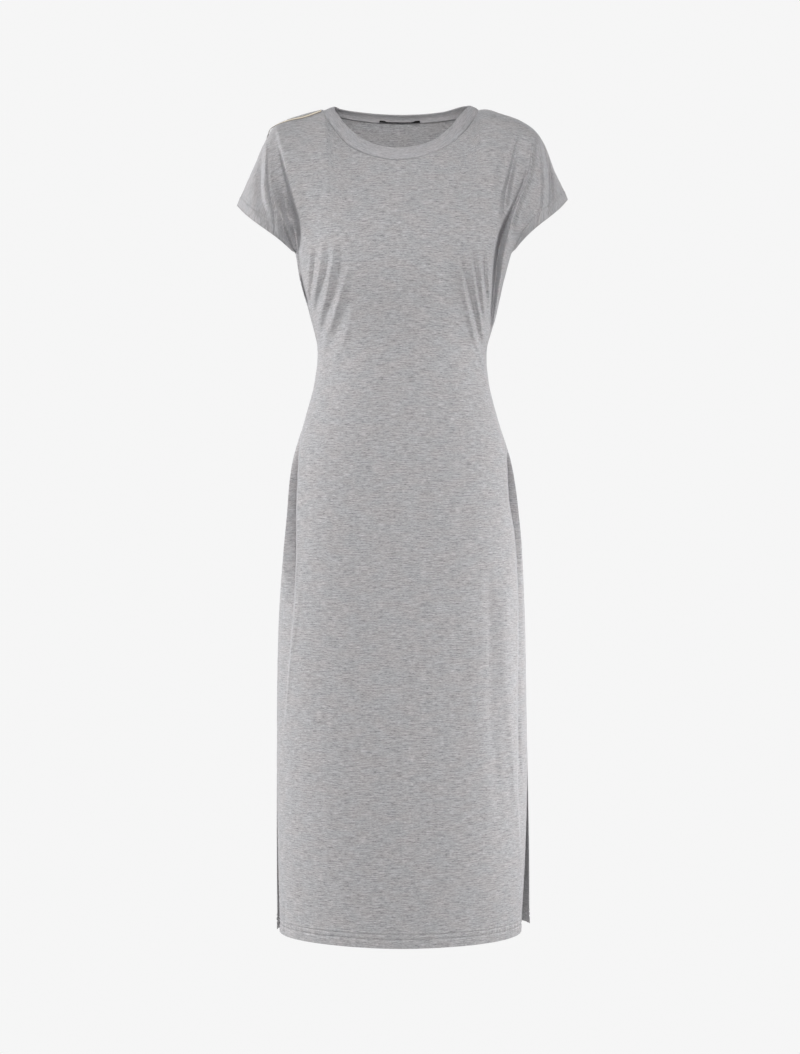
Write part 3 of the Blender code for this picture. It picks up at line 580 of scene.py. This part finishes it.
def edge_relief(side, u, height, point):
    """How far out the cloth stands for its turned edges, stitch rows and seams."""
    from_hem = height * BODY_HEIGHT
    x = point[..., 0]
    hem_wave = np.sin(x * HEM_WAVE + 1.3 * np.sin(x * HEM_SWAY)) + np.sin(x * HEM_OVERTONE + 2.0)
    pucker_row, pucker_reach = HEM_PUCKER
    relief = turned(HEM, from_hem) + PUCKER * hem_wave * bell(from_hem - pucker_row, pucker_reach)
    side_wave = np.sin(height * SIDE_WAVE + 2 * np.sin(height * SIDE_SWAY))
    in_slit = 1 - smoothstep(SLIT_TOP - SLIT_FADE, SLIT_TOP, height)
    in_cuff = smoothstep(*CUFF_OPENS, height)
    sewn = 1 - np.maximum(in_slit, in_cuff)
    for hand in SIGNS:
        distance = from_side(side, hand, u, height)
        near, far = SEAM_PUCKER
        puckers = PUCKER * side_wave * bell(distance, far) * np.minimum(1, distance / near)
        ease = PUCKER * np.sin(height * CUFF_WAVE) * bell(distance - CUFF["rows"][0], CUFF_PUCKER)
        relief = relief + sewn * (puckers - SEAM_DEPTH * bell(distance, SEAM_WIDTH))
        relief = relief + in_slit * turned(SLIT, distance) + in_cuff * (turned(CUFF, distance) + ease)
    return relief - NECK_DEPTH * bell((2 - height) * YOKE_LENGTH, NECK_WIDTH)


def cloth_point(side, u, height):
    """Point of the finished cloth. Folds lie in the direction that the panel is seen from, so that they stay
    at their places in the view."""
    u, height = np.broadcast_arrays(np.asarray(u, float), np.asarray(height, float))
    point = plain_point(side, u, height)
    depth = fold_height(side, point, u, height)
    toward = np.array([0.0, 1.0, 0.0])
    if side == "front":
        toward = unit(np.array([VIEW_X, -VIEW_DISTANCE, VIEW_Z]) - point)
        depth = depth - tuck_depth(point, height)
    relief = edge_relief(side, u, height, point)
    return point + toward * depth[..., None] + normal_at(side, u, height) * relief[..., None]


# ---- Meshes

COLUMNS = 300
# Rows of the panels: the height where each band ends, and its cells.
BANDS = ((0.024 / BODY_HEIGHT, 26), (0.68, 80), (1.0, 84), (1.965, 97), (2.0, 9))
# How the columns crowd: their density in the middle and beyond it, and how much of it the lines below and the
# panels' edges add, over which widths.
MIDDLE_END, MIDDLE_DENSITY, OUTER_DENSITY = (0.25, 0.45), 0.5, 1.3
LINE_CROWD, LINE_CROWD_WIDTH, LINE_CROWD_START = 2.4, 0.03, (0.06, 0.14)
EDGE_CROWD, EDGE_CROWD_WIDTH = 1.5, 0.016
# Heights and half widths at which the lines are looked for, and the place taken where one isn't met.
CROWD_TESTED, CROWD_HALF, CROWD_DEFAULT, CROWD_SMOOTHING = (0.10, 1.86, 70), (0.30, 1.0, 281), 241, 7
FINE_STEPS = 4001
# Lines that the columns crowd round, in the folds' units: (x, y) down the deepest folds of each side.
CROWDED = {
    "left": (
        ((278, 126), (280.5, 141), (288, 172), (295, 202), (299.5, 221), (302, 246), (301, 262), (304, 285),
         (309, 303), (314, 340), (309, 400), (302, 440), (298.5, 470), (296.5, 560), (295, 600), (286, 700),
         (283, 860)),
        ((266, 135), (264, 154), (264, 187), (270, 203), (281, 216), (290, 238), (296, 252), (312, 280),
         (320, 300), (324, 340)),
    ),
    "right": (
        ((531, 150), (526, 177), (516, 200), (507, 219), (500, 240), (496, 262), (493.5, 290), (491, 330),
         (498, 400), (505, 445), (507, 464), (509, 500), (514, 535), (517, 576), (518, 700), (521, 860)),
        ((541, 137), (545, 160), (547, 190), (543, 212), (520, 236), (484, 256), (482, 290), (482, 320),
         (482, 350)),
    ),
}


def crowd_places(side, heights):
    """The u of the crowded lines at each height, with their signs."""
    places = []
    tested = np.linspace(*CROWD_TESTED)
    for hand, sign in SIGNS.items():
        half = sign * np.linspace(*CROWD_HALF)
        u, height = np.meshgrid(half, tested, indexing="ij")
        x, y = seen(side, plain_point(side, u, height))
        for line in CROWDED[hand]:
            xs, ys = np.array(line).T
            outside = (x - np.interp(y, ys, xs)) * sign > 0
            found = half[np.where(outside.any(axis=0), outside.argmax(axis=0), CROWD_DEFAULT)]
            kernel = np.hanning(CROWD_SMOOTHING)
            found = np.pad(found, CROWD_SMOOTHING // 2, mode="edge")
            found = np.convolve(found, kernel / kernel.sum(), mode="valid")
            places.append(np.interp(heights, tested, found))
    return places


def panel_columns(side, rows):
    """u of each column at each row: even in the middle, close together at the sides and at the deep folds."""
    fine = np.linspace(-1.0, 1.0, FINE_STEPS)
    places = crowd_places(side, rows)
    lines = []
    for k, height in enumerate(rows):
        outer = smoothstep(*MIDDLE_END, np.abs(fine))
        density = MIDDLE_DENSITY * (1 - outer) + OUTER_DENSITY * outer
        strength = LINE_CROWD * smoothstep(*LINE_CROWD_START, height)
        for place in places:
            density += strength * bell(fine - place[k], LINE_CROWD_WIDTH)
        for hand in SIGNS:
            distance = from_side(side, hand, fine, height)
            density += EDGE_CROWD * np.exp(-((distance / EDGE_CROWD_WIDTH) ** 4))
        total = np.concatenate(([0.0], np.cumsum((density[1:] + density[:-1]) / 2)))
        lines.append(np.interp(np.linspace(0, total[-1], COLUMNS + 1), total, fine))
    return np.array(lines).T


def panel_rows():
    rows, low = [[0.0]], 0.0
    for high, cells in BANDS:
        rows.append(np.linspace(low, high, cells + 1)[1:])
        low = high
    return np.concatenate(rows)


def lengths_along(points, axis):
    steps = np.linalg.norm(np.diff(points, axis=axis), axis=-1)
    total = np.cumsum(steps, axis=axis)
    pad = [(0, 0)] * total.ndim
    pad[axis] = (1, 0)
    return np.pad(total, pad)


class Sheets:
    """Collects grids of points with their place on the flat cloth, as one mesh."""

    def __init__(self):
        self.points, self.flat, self.faces, self.count = [], [], [], 0

    def add(self, points, flat, flip=False, closed=False):
        across, up = points.shape[:2]
        index = np.arange(across * up).reshape(across, up) + self.count
        if closed:
            index = np.concatenate((index, index[:1]), axis=0)
        corners = (index[:-1, :-1], index[1:, :-1], index[1:, 1:], index[:-1, 1:])
        quads = np.stack(corners, axis=-1).reshape(-1, 4)
        self.faces.append(quads[:, ::-1] if flip else quads)
        self.points.append(points.reshape(-1, 3))
        self.flat.append(flat.reshape(-1, 2))
        self.count += across * up

    def build(self, name, finish, weld=0.00002):
        points, faces = np.concatenate(self.points), np.concatenate(self.faces)
        flat = np.concatenate(self.flat)
        mesh = bpy.data.meshes.new(name)
        mesh.vertices.add(len(points))
        mesh.vertices.foreach_set("co", points.astype(np.float32).ravel())
        mesh.loops.add(faces.size)
        mesh.loops.foreach_set("vertex_index", faces.astype(np.int32).ravel())
        mesh.polygons.add(len(faces))
        mesh.polygons.foreach_set("loop_start", np.arange(0, faces.size, 4, dtype=np.int32))
        layer = mesh.uv_layers.new(name="cloth")
        layer.data.foreach_set("uv", flat[faces.ravel()].astype(np.float32).ravel())
        mesh.update(calc_edges=True)
        mesh.validate()
        if weld:
            made = bmesh.new()
            made.from_mesh(mesh)
            bmesh.ops.remove_doubles(made, verts=made.verts, dist=weld)
            made.to_mesh(mesh)
            made.free()
        mesh.shade_smooth()
        obj = bpy.data.objects.new(name, mesh)
        bpy.context.scene.collection.objects.link(obj)
        mesh.materials.append(finish)
        return obj


def one_sheet(name, points, flat, finish, flip=False):
    sheets = Sheets()
    sheets.add(points, flat, flip)
    return sheets.build(name, finish)


def read_along(at, places, *lines):
    """Each line of vectors, read at the numbers in at."""
    return [np.stack([np.interp(at, places, line[:, axis]) for axis in range(3)], axis=-1) for line in lines]


def turned_edge(sheets, edge_at, inward, width, flat_at, flip):
    """An edge that turns in and lies against the inside of the cloth. At a distance d from it, edge_at(d) and
    flat_at(d) give the points of the cloth and their places on the flat cloth."""
    edge = edge_at(0.0)
    into_cloth = unit(edge_at(INTO_CLOTH) - edge)
    lines, flats = [edge], [flat_at(0.0)]
    for angle in np.linspace(0, math.pi, 6)[1:]:
        lines.append(edge - into_cloth * ROLL * math.sin(angle) + inward * ROLL * (1 - math.cos(angle)))
        flats.append(flat_at(-ROLL * angle))
    for distance in np.linspace(TURN_FROM, width, 7):
        sink = LAYER * (0.75 + 0.25 * math.sin(math.pi * distance / width))
        lines.append(edge_at(distance) + inward * sink)
        flats.append(flat_at(-ROLL * math.pi - distance))
    sheets.add(np.stack(lines, axis=1), np.stack(flats, axis=1), flip)


def build_panel(side, finish):
    rows = panel_rows()
    u = panel_columns(side, rows)
    height = np.broadcast_to(rows, u.shape)
    points = cloth_point(side, u, height)
    across = lengths_along(points, 0)
    middle = np.array([np.interp(0.0, u[:, k], across[:, k]) for k in range(u.shape[1])])
    flat = np.stack((across - middle, lengths_along(plain_point(side, u, height), 1)), axis=-1)
    flip = side == "back"
    sheets = Sheets()
    sheets.add(points, flat, flip)
    hem_u = u[:, 0]
    turned_edge(
        sheets,
        lambda d: cloth_point(side, hem_u, np.full_like(hem_u, d / BODY_HEIGHT)),
        -normal_at(side, hem_u, np.zeros_like(hem_u)),
        HEM["width"],
        lambda d: np.stack((flat[:, 0, 0], np.full_like(hem_u, d)), axis=-1),
        not flip,
    )
    for hand, sign in SIGNS.items():
        for low, high, edge in ((0.0, SLIT_TOP, SLIT), (1.0, 2.0, CUFF)):
            keep = (rows >= low - 1e-9) & (rows <= high + EDGE_OVERLAP)
            edge_rows = rows[keep]
            speed = speed_at(side, hand, edge_rows)
            edge_flat = flat[-1 if sign > 0 else 0, keep]

            def at(d, edge_rows=edge_rows, speed=speed, sign=sign):
                return cloth_point(side, sign * (1 - d / speed), edge_rows)

            def flat_at(d, edge_flat=edge_flat, sign=sign):
                return edge_flat - np.array([sign * d, 0.0])

            inward = -normal_at(side, np.full_like(edge_rows, sign * 1.0), edge_rows)
            turned_edge(sheets, at, inward, edge["width"], flat_at, (sign > 0) == flip)
    return sheets.build(f"dress_{side}", finish)


# Neck band: a doubled strip, folded at its upper edge.
BAND_COLUMNS, BAND_SMOOTHING = 150, 15
BAND_HALF, BAND_CROWN, BAND_FOLD = 0.00095, 0.0012, 0.06
# How deep the two faces sink at the seam: the depth, its place and its reach as shares of the band's height.
BAND_OUTER_SINK, BAND_INNER_SINK = (0.0024, 0.0, 0.05), (0.0009, 0.06, 0.12)
BAND_SHARES = (0.0, 0.02, 0.045, 0.075, 0.11, 0.16, 0.25, 0.375, 0.5, 0.625, 0.75, 0.875, 1.0)


def band_frame():
    """Lower edge, upper edge and outward direction of the band, as closed rings that start at the left."""
    share = np.linspace(0.0, 1.0, BAND_COLUMNS + 1)
    u = (2 * share - 1) * NECK_SHARE
    lower, upper = [], []
    for side, order in (("front", 1), ("back", -1)):
        lower.append(cloth_point(side, u, np.full_like(u, 2.0))[::order][:-1])
        upper.append(stack(*along(BAND_EDGE[side], POINT_COLUMNS, share))[::order][:-1])
    lower, upper = np.concatenate(lower), np.concatenate(upper)
    run = np.roll(lower, -1, axis=0) - np.roll(lower, 1, axis=0)
    return lower, upper, unit(np.cross(run, upper - lower))


def smooth_ring(values, width):
    kernel = np.hanning(width + 2)[1:-1]
    kernel /= kernel.sum()
    padded = np.concatenate((values[-width:], values, values[:width]))
    done = np.stack([np.convolve(padded[:, k], kernel, mode="same") for k in range(values.shape[1])], axis=1)
    return done[width:-width]


def band_face(share, face, sink):
    """A place of the band's profile: the share of its height, and how far out the face lies there."""
    thick = BAND_HALF * (0.35 + 0.65 * math.sin(math.pi * min(share + 0.12, 0.5)))
    depth, place, reach = sink
    return share, BAND_CROWN * math.sin(math.pi * share) + face * thick - depth * bell(share - place, reach)


def build_band(finish):
    lower, upper, outward = band_frame()
    outward = unit(smooth_ring(outward, BAND_SMOOTHING))
    profile = [band_face(share, 1, BAND_OUTER_SINK) for share in BAND_SHARES]
    top = profile[-1][1]
    for angle in np.linspace(0, math.pi, 6)[1:-1]:
        profile.append((1.0 + BAND_FOLD * math.sin(angle), top * math.cos(angle)))
    profile += [band_face(share, -1, BAND_INNER_SINK) for share in np.linspace(1.0, 0.0, 8)]
    points = np.stack([lower + (upper - lower) * share + outward * out for share, out in profile], axis=1)
    points = np.concatenate((points, points[:1]), axis=0)
    flat = np.stack((lengths_along(points, 0), lengths_along(points, 1)), axis=-1)
    return one_sheet("neck_band_cloth", points, flat, finish)


# Shoulder tapes and label
TAPE_WIDTH, TAPE_HALF, TAPE_THIN, TAPE_DROOP = 0.0080, 0.0004, 0.45, 0.00025
TAPE_INSETS, TAPE_COLUMNS, TAPE_BESIDE = (0.012, 0.996), 150, 0.03
TAPE_BACK, TAPE_LEAVES = 0.030, (0.34, 0.54)
TAPE_LIFTS, TAPE_FREE_LIFT = {"left": 0.0024, "right": 0.0015}, 0.0007


def build_tape(hand, finish):
    """Woven tape over the shoulder seam."""
    sign = SIGNS[hand]
    share = np.linspace(*TAPE_INSETS, TAPE_COLUMNS)
    u = sign * (NECK_SHARE + (1 - NECK_SHARE) * share)
    leaving = smoothstep(*TAPE_LEAVES, share)
    back = TAPE_BACK * leaving
    seam = cloth_point("back", u, 2.0 - back)
    before = cloth_point("front", u, np.full_like(u, 2.0 - TAPE_BESIDE))
    behind = cloth_point("back", u, 2.0 - TAPE_BESIDE - back)
    run = np.gradient(seam, axis=0)
    out = unit(np.cross(run, behind - before)) * sign
    across = unit(np.cross(out, run)) * sign
    lift = TAPE_LIFTS[hand] + (TAPE_FREE_LIFT - TAPE_LIFTS[hand]) * leaving
    middle = seam + out * lift[:, None]
    profile = []
    for face, shares in ((1, np.linspace(-1, 1, 9)), (-1, np.linspace(1, -1, 9)[1:])):
        for share in shares:
            rise = face * TAPE_HALF * (1 - TAPE_THIN * share**4) - TAPE_DROOP * share**2
            profile.append((share * TAPE_WIDTH / 2, rise))
    points = np.stack([middle + across * place + out * rise for place, rise in profile], axis=1)
    length = lengths_along(middle, 0)
    places = np.array([place for place, _ in profile])
    flat = np.stack(np.broadcast_arrays(length[:, None], places[None, :]), axis=-1)
    return one_sheet(f"tape_{hand}", points, flat, finish, sign < 0)


LABEL_X, LABEL_LENGTH, LABEL_HALF = -0.0036, 0.061, 0.00035
LABEL_RISES, LABEL_FOOT = (0.27, 0.12), 0.04
LABEL_END_SHARES, LABEL_CORNER, LABEL_CORNER_CUT = (0.62, 0.80), 0.985, 0.12
LABEL_GAP, LABEL_BULGE = 0.0006, 0.0003


def build_label(finish):
    """Narrow label on the inside of the band at the back neck, with broad ends and a slim middle."""
    share = np.linspace(-1.0, 1.0, 81)
    ends, slim = LABEL_RISES
    top = slim + (ends - slim) * smoothstep(*LABEL_END_SHARES, np.abs(share))
    corner = np.clip((np.abs(share) - LABEL_CORNER) / (1 - LABEL_CORNER), 0, 1)
    lower, upper, outward = [line[BAND_COLUMNS:][::-1] for line in band_frame()]
    x = LABEL_X + share * LABEL_LENGTH / 2
    low, high, out = read_along(x, lower[:, 0], lower, upper, outward)
    lines = []
    profile = [(k / 8, -1) for k in range(9)] + [(k / 8, 1) for k in range(8, -1, -1)] + [(0, -1)]
    for level, face in profile:
        rise = top * (LABEL_FOOT + (1 - LABEL_FOOT) * level) * (1 - LABEL_CORNER_CUT * corner * level)
        rise = rise[:, None]
        crown = BAND_CROWN * np.sin(math.pi * rise) - BAND_HALF - LABEL_GAP
        bulge = LABEL_BULGE * math.sin(math.pi * level)
        thick = LABEL_HALF * (0.3 + 0.7 * math.sin(math.pi * level) ** 0.4)
        lines.append(low + (high - low) * rise + out * (crown - bulge + face * thick))
    points = np.stack(lines, axis=1)
    flat = np.stack((np.broadcast_to(x[:, None], points.shape[:2]), lengths_along(points, 1)), axis=-1)
    return one_sheet("label_strip", points, flat, finish)


# ---- Stitches

STITCH_PITCH, STITCH_RADIUS = 0.0029, 0.00019
STITCHED_WIDTH = 0.992
STITCHED_EDGES = ((HEM["rows"][0] / BODY_HEIGHT, SLIT_TOP - 0.006, SLIT), (1.03, 1.985, CUFF))
# Along a stitch: the place as a share of the pitch, how far the thread stands up and its share of the radius.
STITCH_PLACES = 0.86 * np.array([0.0, 0.12, 0.5, 0.88, 1.0])
STITCH_LIFTS = np.array([-0.0003, 0.00005, 0.00022, 0.00005, -0.0003])
STITCH_THICK = np.array([0.5, 0.9, 1.0, 0.9, 0.5])


def stitch_line(sheets, side, u, height):
    """Stitches along a line on the cloth, each a short thread that dips in at both ends."""
    points, normals = cloth_point(side, u, height), normal_at(side, u, height)
    place = lengths_along(points, 0)
    ring = np.linspace(0, 2 * math.pi, 6, endpoint=False)
    thick = STITCH_RADIUS * STITCH_THICK
    for k in range(int(place[-1] / STITCH_PITCH)):
        at = k * STITCH_PITCH + STITCH_PITCH * STITCH_PLACES
        middle, normal = read_along(at, place, points, normals)
        normal = unit(normal)
        across = np.cross(normal, unit(np.gradient(middle, axis=0)))
        centre = middle + normal * STITCH_LIFTS[:, None]
        rings = (
            centre[None]
            + across[None] * (np.cos(ring)[:, None] * thick)[..., None]
            + normal[None] * (np.sin(ring)[:, None] * thick)[..., None]
        )
        flat = np.stack(np.broadcast_arrays(at[None, :], ring[:, None] * STITCH_RADIUS), axis=-1)
        sheets.add(rings, flat, closed=True)


def stitch_rows(side, finish):
    sheets = Sheets()
    for row in HEM["rows"]:
        u = np.linspace(-STITCHED_WIDTH, STITCHED_WIDTH, 420)
        stitch_line(sheets, side, u, np.full_like(u, row / BODY_HEIGHT))
    for hand, sign in SIGNS.items():
        for low, high, edge in STITCHED_EDGES:
            height = np.linspace(low, high, 220)
            u = sign * (1 - edge["rows"][0] / speed_at(side, hand, height))
            stitch_line(sheets, side, u, height)
    return sheets.build(f"stitches_{side}", finish, weld=0)


# ---- Materials


class Nodes:
    """A material's node tree with short calls for what is used here."""

    def __init__(self, name, **sockets):
        self.material = bpy.data.materials.new(name)
        self.material.use_nodes = True
        self.tree = self.material.node_tree
        self.shader = self.tree.nodes["Principled BSDF"]
        for socket, value in sockets.items():
            self.shader.inputs[socket.replace("_", " ")].default_value = value

    def node(self, kind, inputs=None, **settings):
        made = self.tree.nodes.new(kind)
        for key, value in settings.items():
            setattr(made, key, value)
        for key, value in (inputs or {}).items():
            if isinstance(value, bpy.types.NodeSocket):
                self.tree.links.new(value, made.inputs[key])
            else:
                made.inputs[key].default_value = value
        return made

    def math(self, operation, first, second=0.0):
        return self.node("ShaderNodeMath", {0: first, 1: second}, operation=operation).outputs[0]

    def cloth(self):
        """Place on the flat cloth, in metres."""
        return self.node("ShaderNodeUVMap", uv_map="cloth").outputs[0]

    def wave(self, value, pitch):
        return self.math("SINE", self.math("MULTIPLY", value, 2 * math.pi / pitch))

    def noise(self, vector, across, along, detail=2.0, roughness=0.6):
        scale = (across, along, 1)
        stretched = self.node("ShaderNodeMapping", {"Vector": vector, "Scale": scale}).outputs[0]
        inputs = {"Vector": stretched, "Scale": 1.0, "Detail": detail, "Roughness": roughness}
        return self.node("ShaderNodeTexNoise", inputs).outputs["Fac"]

    def ramp(self, value, low, high, to_low=0.0, to_high=1.0):
        inputs = {"Value": value, "From Min": low, "From Max": high, "To Min": to_low, "To Max": to_high}
        return self.node("ShaderNodeMapRange", inputs).outputs["Result"]

    def mix(self, factor, first, second, blend="MIX"):
        inputs = {0: factor, 6: first, 7: second}
        return self.node("ShaderNodeMix", inputs, data_type="RGBA", blend_type=blend).outputs[2]

    def bump(self, height, distance, strength=0.6, before=None):
        inputs = {"Height": height, "Distance": distance, "Strength": strength}
        if before is not None:
            inputs["Normal"] = before
        return self.node("ShaderNodeBump", inputs).outputs[0]

    def finish(self, colour, normal):
        for value, socket in ((colour, "Base Color"), (normal, "Normal")):
            self.tree.links.new(value, self.shader.inputs[socket])
        return self.material


ALBEDO = 0.40
WARM, COOL = (1.021, 0.988, 1.002), (0.993, 0.988, 1.015)
# Metres between ribs, courses and threads, and where the tape's middle and the painted shade lines at its
# edges lie.
RIB_PITCH, COURSE_PITCH, TWILL_PITCH, LABEL_PITCH = 0.00095, 0.00070, 0.00055, 0.00045
TAPE_CENTRE, TAPE_SHADE_LINES = 0.0008, (0.00175, 0.00205)


def jersey(name, tint=(1.0, 1.0, 1.0), streaks=1.0):
    """Grey melange jersey: light and dark fibres drawn out along the courses, over fine knitted ribs."""
    made = Nodes(name, Roughness=0.88, Sheen_Weight=0.35, Sheen_Roughness=0.45, Specular_IOR_Level=0.18)
    made.shader.inputs["Sheen Tint"].default_value = (0.96, 0.96, 1.0, 1.0)
    flat = made.cloth()
    long_streak = made.noise(flat, 46, 700)
    short_streak = made.noise(flat, 120, 800)
    fibre = made.noise(flat, 330, 1500, 1.0, 0.5)
    cloud = made.noise(flat, 22, 60, 2.0, 0.5)
    hue = made.noise(flat, 26, 52)
    level = made.ramp(long_streak, 0.30, 0.70, -0.085 * streaks, 0.085 * streaks)
    for noise, low, high, swing in (
        (short_streak, 0.28, 0.72, 0.119 * streaks),
        (fibre, 0.25, 0.75, 0.101 * streaks),
        (cloud, 0.3, 0.7, 0.005),
    ):
        level = made.math("ADD", level, made.ramp(noise, low, high, -swing, swing))
    level = made.math("ADD", level, ALBEDO)
    grey = made.node("ShaderNodeCombineColor", {"Red": level, "Green": level, "Blue": level}).outputs[0]
    warm, cool = [tuple(c * k for c, k in zip(colour, tint)) + (1.0,) for colour in (WARM, COOL)]
    tone = made.mix(made.ramp(hue, 0.38, 0.62), cool, warm)
    colour = made.mix(1.0, grey, tone, "MULTIPLY")
    place = made.node("ShaderNodeSeparateXYZ", {"Vector": flat})
    rib = made.wave(place.outputs[0], RIB_PITCH)
    course = made.wave(place.outputs[1], COURSE_PITCH)
    knit = made.math("ADD", made.math("MULTIPLY", rib, 0.5), made.math("MULTIPLY", course, 0.3))
    fuzz = made.noise(flat, 900, 1400)
    ribs = made.bump(knit, 0.00010, 0.5)
    fibres = made.math("ADD", fuzz, made.math("MULTIPLY", short_streak, 0.6))
    return made.finish(colour, made.bump(fibres, 0.00030, 0.5, ribs))


def tape_finish():
    """Cream tape with a satin middle, and dark brown lines at its edges that are painted shade of the seam
    grooves beside it.
    """
    made = Nodes("tape_weave", Roughness=0.42, Sheen_Weight=0.2, Specular_IOR_Level=0.45)
    flat = made.cloth()
    place = made.node("ShaderNodeSeparateXYZ", {"Vector": flat})
    off = made.math("ABSOLUTE", made.math("ADD", place.outputs[1], TAPE_CENTRE))
    edge = made.ramp(off, *TAPE_SHADE_LINES)
    noise = made.noise(flat, 700, 4200)
    cream = made.mix(noise, (0.78, 0.68, 0.52, 1), (0.93, 0.86, 0.72, 1))
    # Painted shade: dark brown lines at both edges of the tape stand in for the shadow of the seam grooves
    # beside it.
    thread = made.mix(noise, (0.16, 0.125, 0.10, 1), (0.27, 0.215, 0.17, 1))
    colour = made.mix(edge, cream, thread)
    twill = made.wave(made.math("ADD", place.outputs[0], place.outputs[1]), TWILL_PITCH)
    return made.finish(colour, made.bump(twill, 0.00010))


def label_finish():
    """Plain black woven label."""
    made = Nodes("label_weave", Roughness=0.7, Sheen_Weight=0.05, Specular_IOR_Level=0.2)
    flat = made.cloth()
    colour = made.mix(made.noise(flat, 900, 2400), (0.003, 0.003, 0.003, 1), (0.010, 0.010, 0.011, 1))
    place = made.node("ShaderNodeSeparateXYZ", {"Vector": flat})
    return made.finish(colour, made.bump(made.wave(place.outputs[0], LABEL_PITCH), 0.00008))


def thread_finish():
    made = Nodes("thread_twist", Roughness=0.6, Sheen_Weight=0.3, Specular_IOR_Level=0.3)
    twist = made.noise(made.cloth(), 2500, 900)
    colour = made.mix(twist, (0.25, 0.25, 0.26, 1), (0.36, 0.36, 0.37, 1))
    return made.finish(colour, made.bump(twist, 0.00005))


# ---- Studio

BACKDROP, FILL = 0.92, 0.265
FLOOR_Z, FLOOR_RADIUS, BACKDROP_RADIUS = -1.42, 29.0, 30.0
SENSOR, FRAME_TALL = 36.0, 1.5283
# Name, where, what it points at, width, height, spread in degrees, power.
LIGHTS = (
    ("box_left", (-2.6, -0.1, -0.4), (0.0, 0.0, -0.55), 1.0, 2.6, 180, 15.0),
    ("rim_left", (-2.6, 0.7, -0.6), (0.0, 0.0, -0.7), 0.8, 1.6, 180, 48.0),
    ("low_right", (1.3, -0.15, -0.92), (0.0, -0.03, -0.84), 0.4, 0.6, 80, 1.1),
    ("rim_right", (1.25, 0.30, -0.80), (0.0, 0.0, -0.72), 0.4, 0.8, 80, 2.5),
    ("front_high", (0.0, -3.2, 1.8), (0.0, 0.0, -0.5), 2.0, 1.4, 180, 21.0),
    ("front_key", (0.0, -4.0, 0.3), (0.0, 0.0, -0.4), 0.8, 0.8, 180, 86.0),
    ("front_low", (0.0, -3.6, -1.0), (0.0, 0.0, -0.7), 0.8, 0.8, 180, 7.5),
    ("back_high", (0.0, 3.2, 1.8), (0.0, 0.0, -0.5), 2.0, 1.4, 180, 30.0),
    ("back_key", (0.0, 4.0, 0.1), (0.0, 0.0, -0.5), 1.4, 1.4, 180, 60.0),
)


def place_object(name, data, where):
    obj = bpy.data.objects.new(name, data)
    obj.location = where
    bpy.context.scene.collection.objects.link(obj)
    return obj


def build_studio():
    scene = bpy.context.scene
    world = bpy.data.worlds.new("studio")
    world.use_nodes = True
    background = world.node_tree.nodes["Background"]
    background.inputs["Color"].default_value = (1.0, 1.0, 1.0, 1.0)
    background.inputs["Strength"].default_value = FILL
    scene.world = world
    scene.view_settings.view_transform = "Standard"
    scene.view_settings.look = "None"
    pale = Nodes("studio_pale", Specular_IOR_Level=0.0, Emission_Strength=1.0)
    pale.shader.inputs["Base Color"].default_value = (0.0, 0.0, 0.0, 1.0)
    pale.shader.inputs["Emission Color"].default_value = (BACKDROP, BACKDROP, BACKDROP, 1.0)
    for name in ("floor", "backdrop"):
        made = bmesh.new()
        if name == "floor":
            bmesh.ops.create_circle(made, cap_ends=True, segments=96, radius=FLOOR_RADIUS)
        else:
            bmesh.ops.create_uvsphere(made, u_segments=64, v_segments=32, radius=BACKDROP_RADIUS)
        mesh = bpy.data.meshes.new(name)
        made.to_mesh(mesh)
        made.free()
        mesh.materials.append(pale.material)
        obj = place_object(name, mesh, (0, 0, FLOOR_Z))
        obj.visible_diffuse = obj.visible_glossy = obj.visible_shadow = obj.visible_transmission = False
    for name, where, target, across, high, spread, power in LIGHTS:
        lamp = bpy.data.lights.new(name, "AREA")
        lamp.shape = "RECTANGLE"
        lamp.size, lamp.size_y = across, high
        lamp.spread = math.radians(spread)
        lamp.energy = power
        toward = Vector(target) - Vector(where)
        place_object(name, lamp, where).rotation_euler = toward.to_track_quat("-Z", "Y").to_euler()
    camera = bpy.data.cameras.new("camera")
    camera.sensor_width = SENSOR
    camera.lens = SENSOR * VIEW_DISTANCE / FRAME_TALL
    scene.camera = place_object("camera", camera, (VIEW_X, -VIEW_DISTANCE, VIEW_Z))
    scene.camera.rotation_euler = (math.pi / 2, 0, 0)


def main():
    cloth = jersey("jersey_melange")
    band_cloth = jersey("jersey_band_melange", (1.02, 1.02, 1.03), 0.6)
    thread = thread_finish()
    tape, label = tape_finish(), label_finish()
    front, back = build_panel("front", cloth), build_panel("back", cloth)
    band = build_band(band_cloth)
    tapes = {hand: build_tape(hand, tape) for hand in SIGNS}
    strip = build_label(label)
    stitches = {side: stitch_rows(side, thread) for side in SIDES}
    pieces = (
        (front, "jersey", "front_panel"),
        (back, "jersey", "back_panel"),
        (band, "jersey_band", "neck_band"),
        (tapes["left"], "tape", "shoulder_tape_left"),
        (tapes["right"], "tape", "shoulder_tape_right"),
        (strip, "label", "neck_label"),
        (stitches["front"], "jersey", None),
        (stitches["back"], "jersey", None),
    )
    for piece, slot, node in pieces:
        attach(piece, "root")
        if node:
            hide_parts(node)
    build_studio()


main()
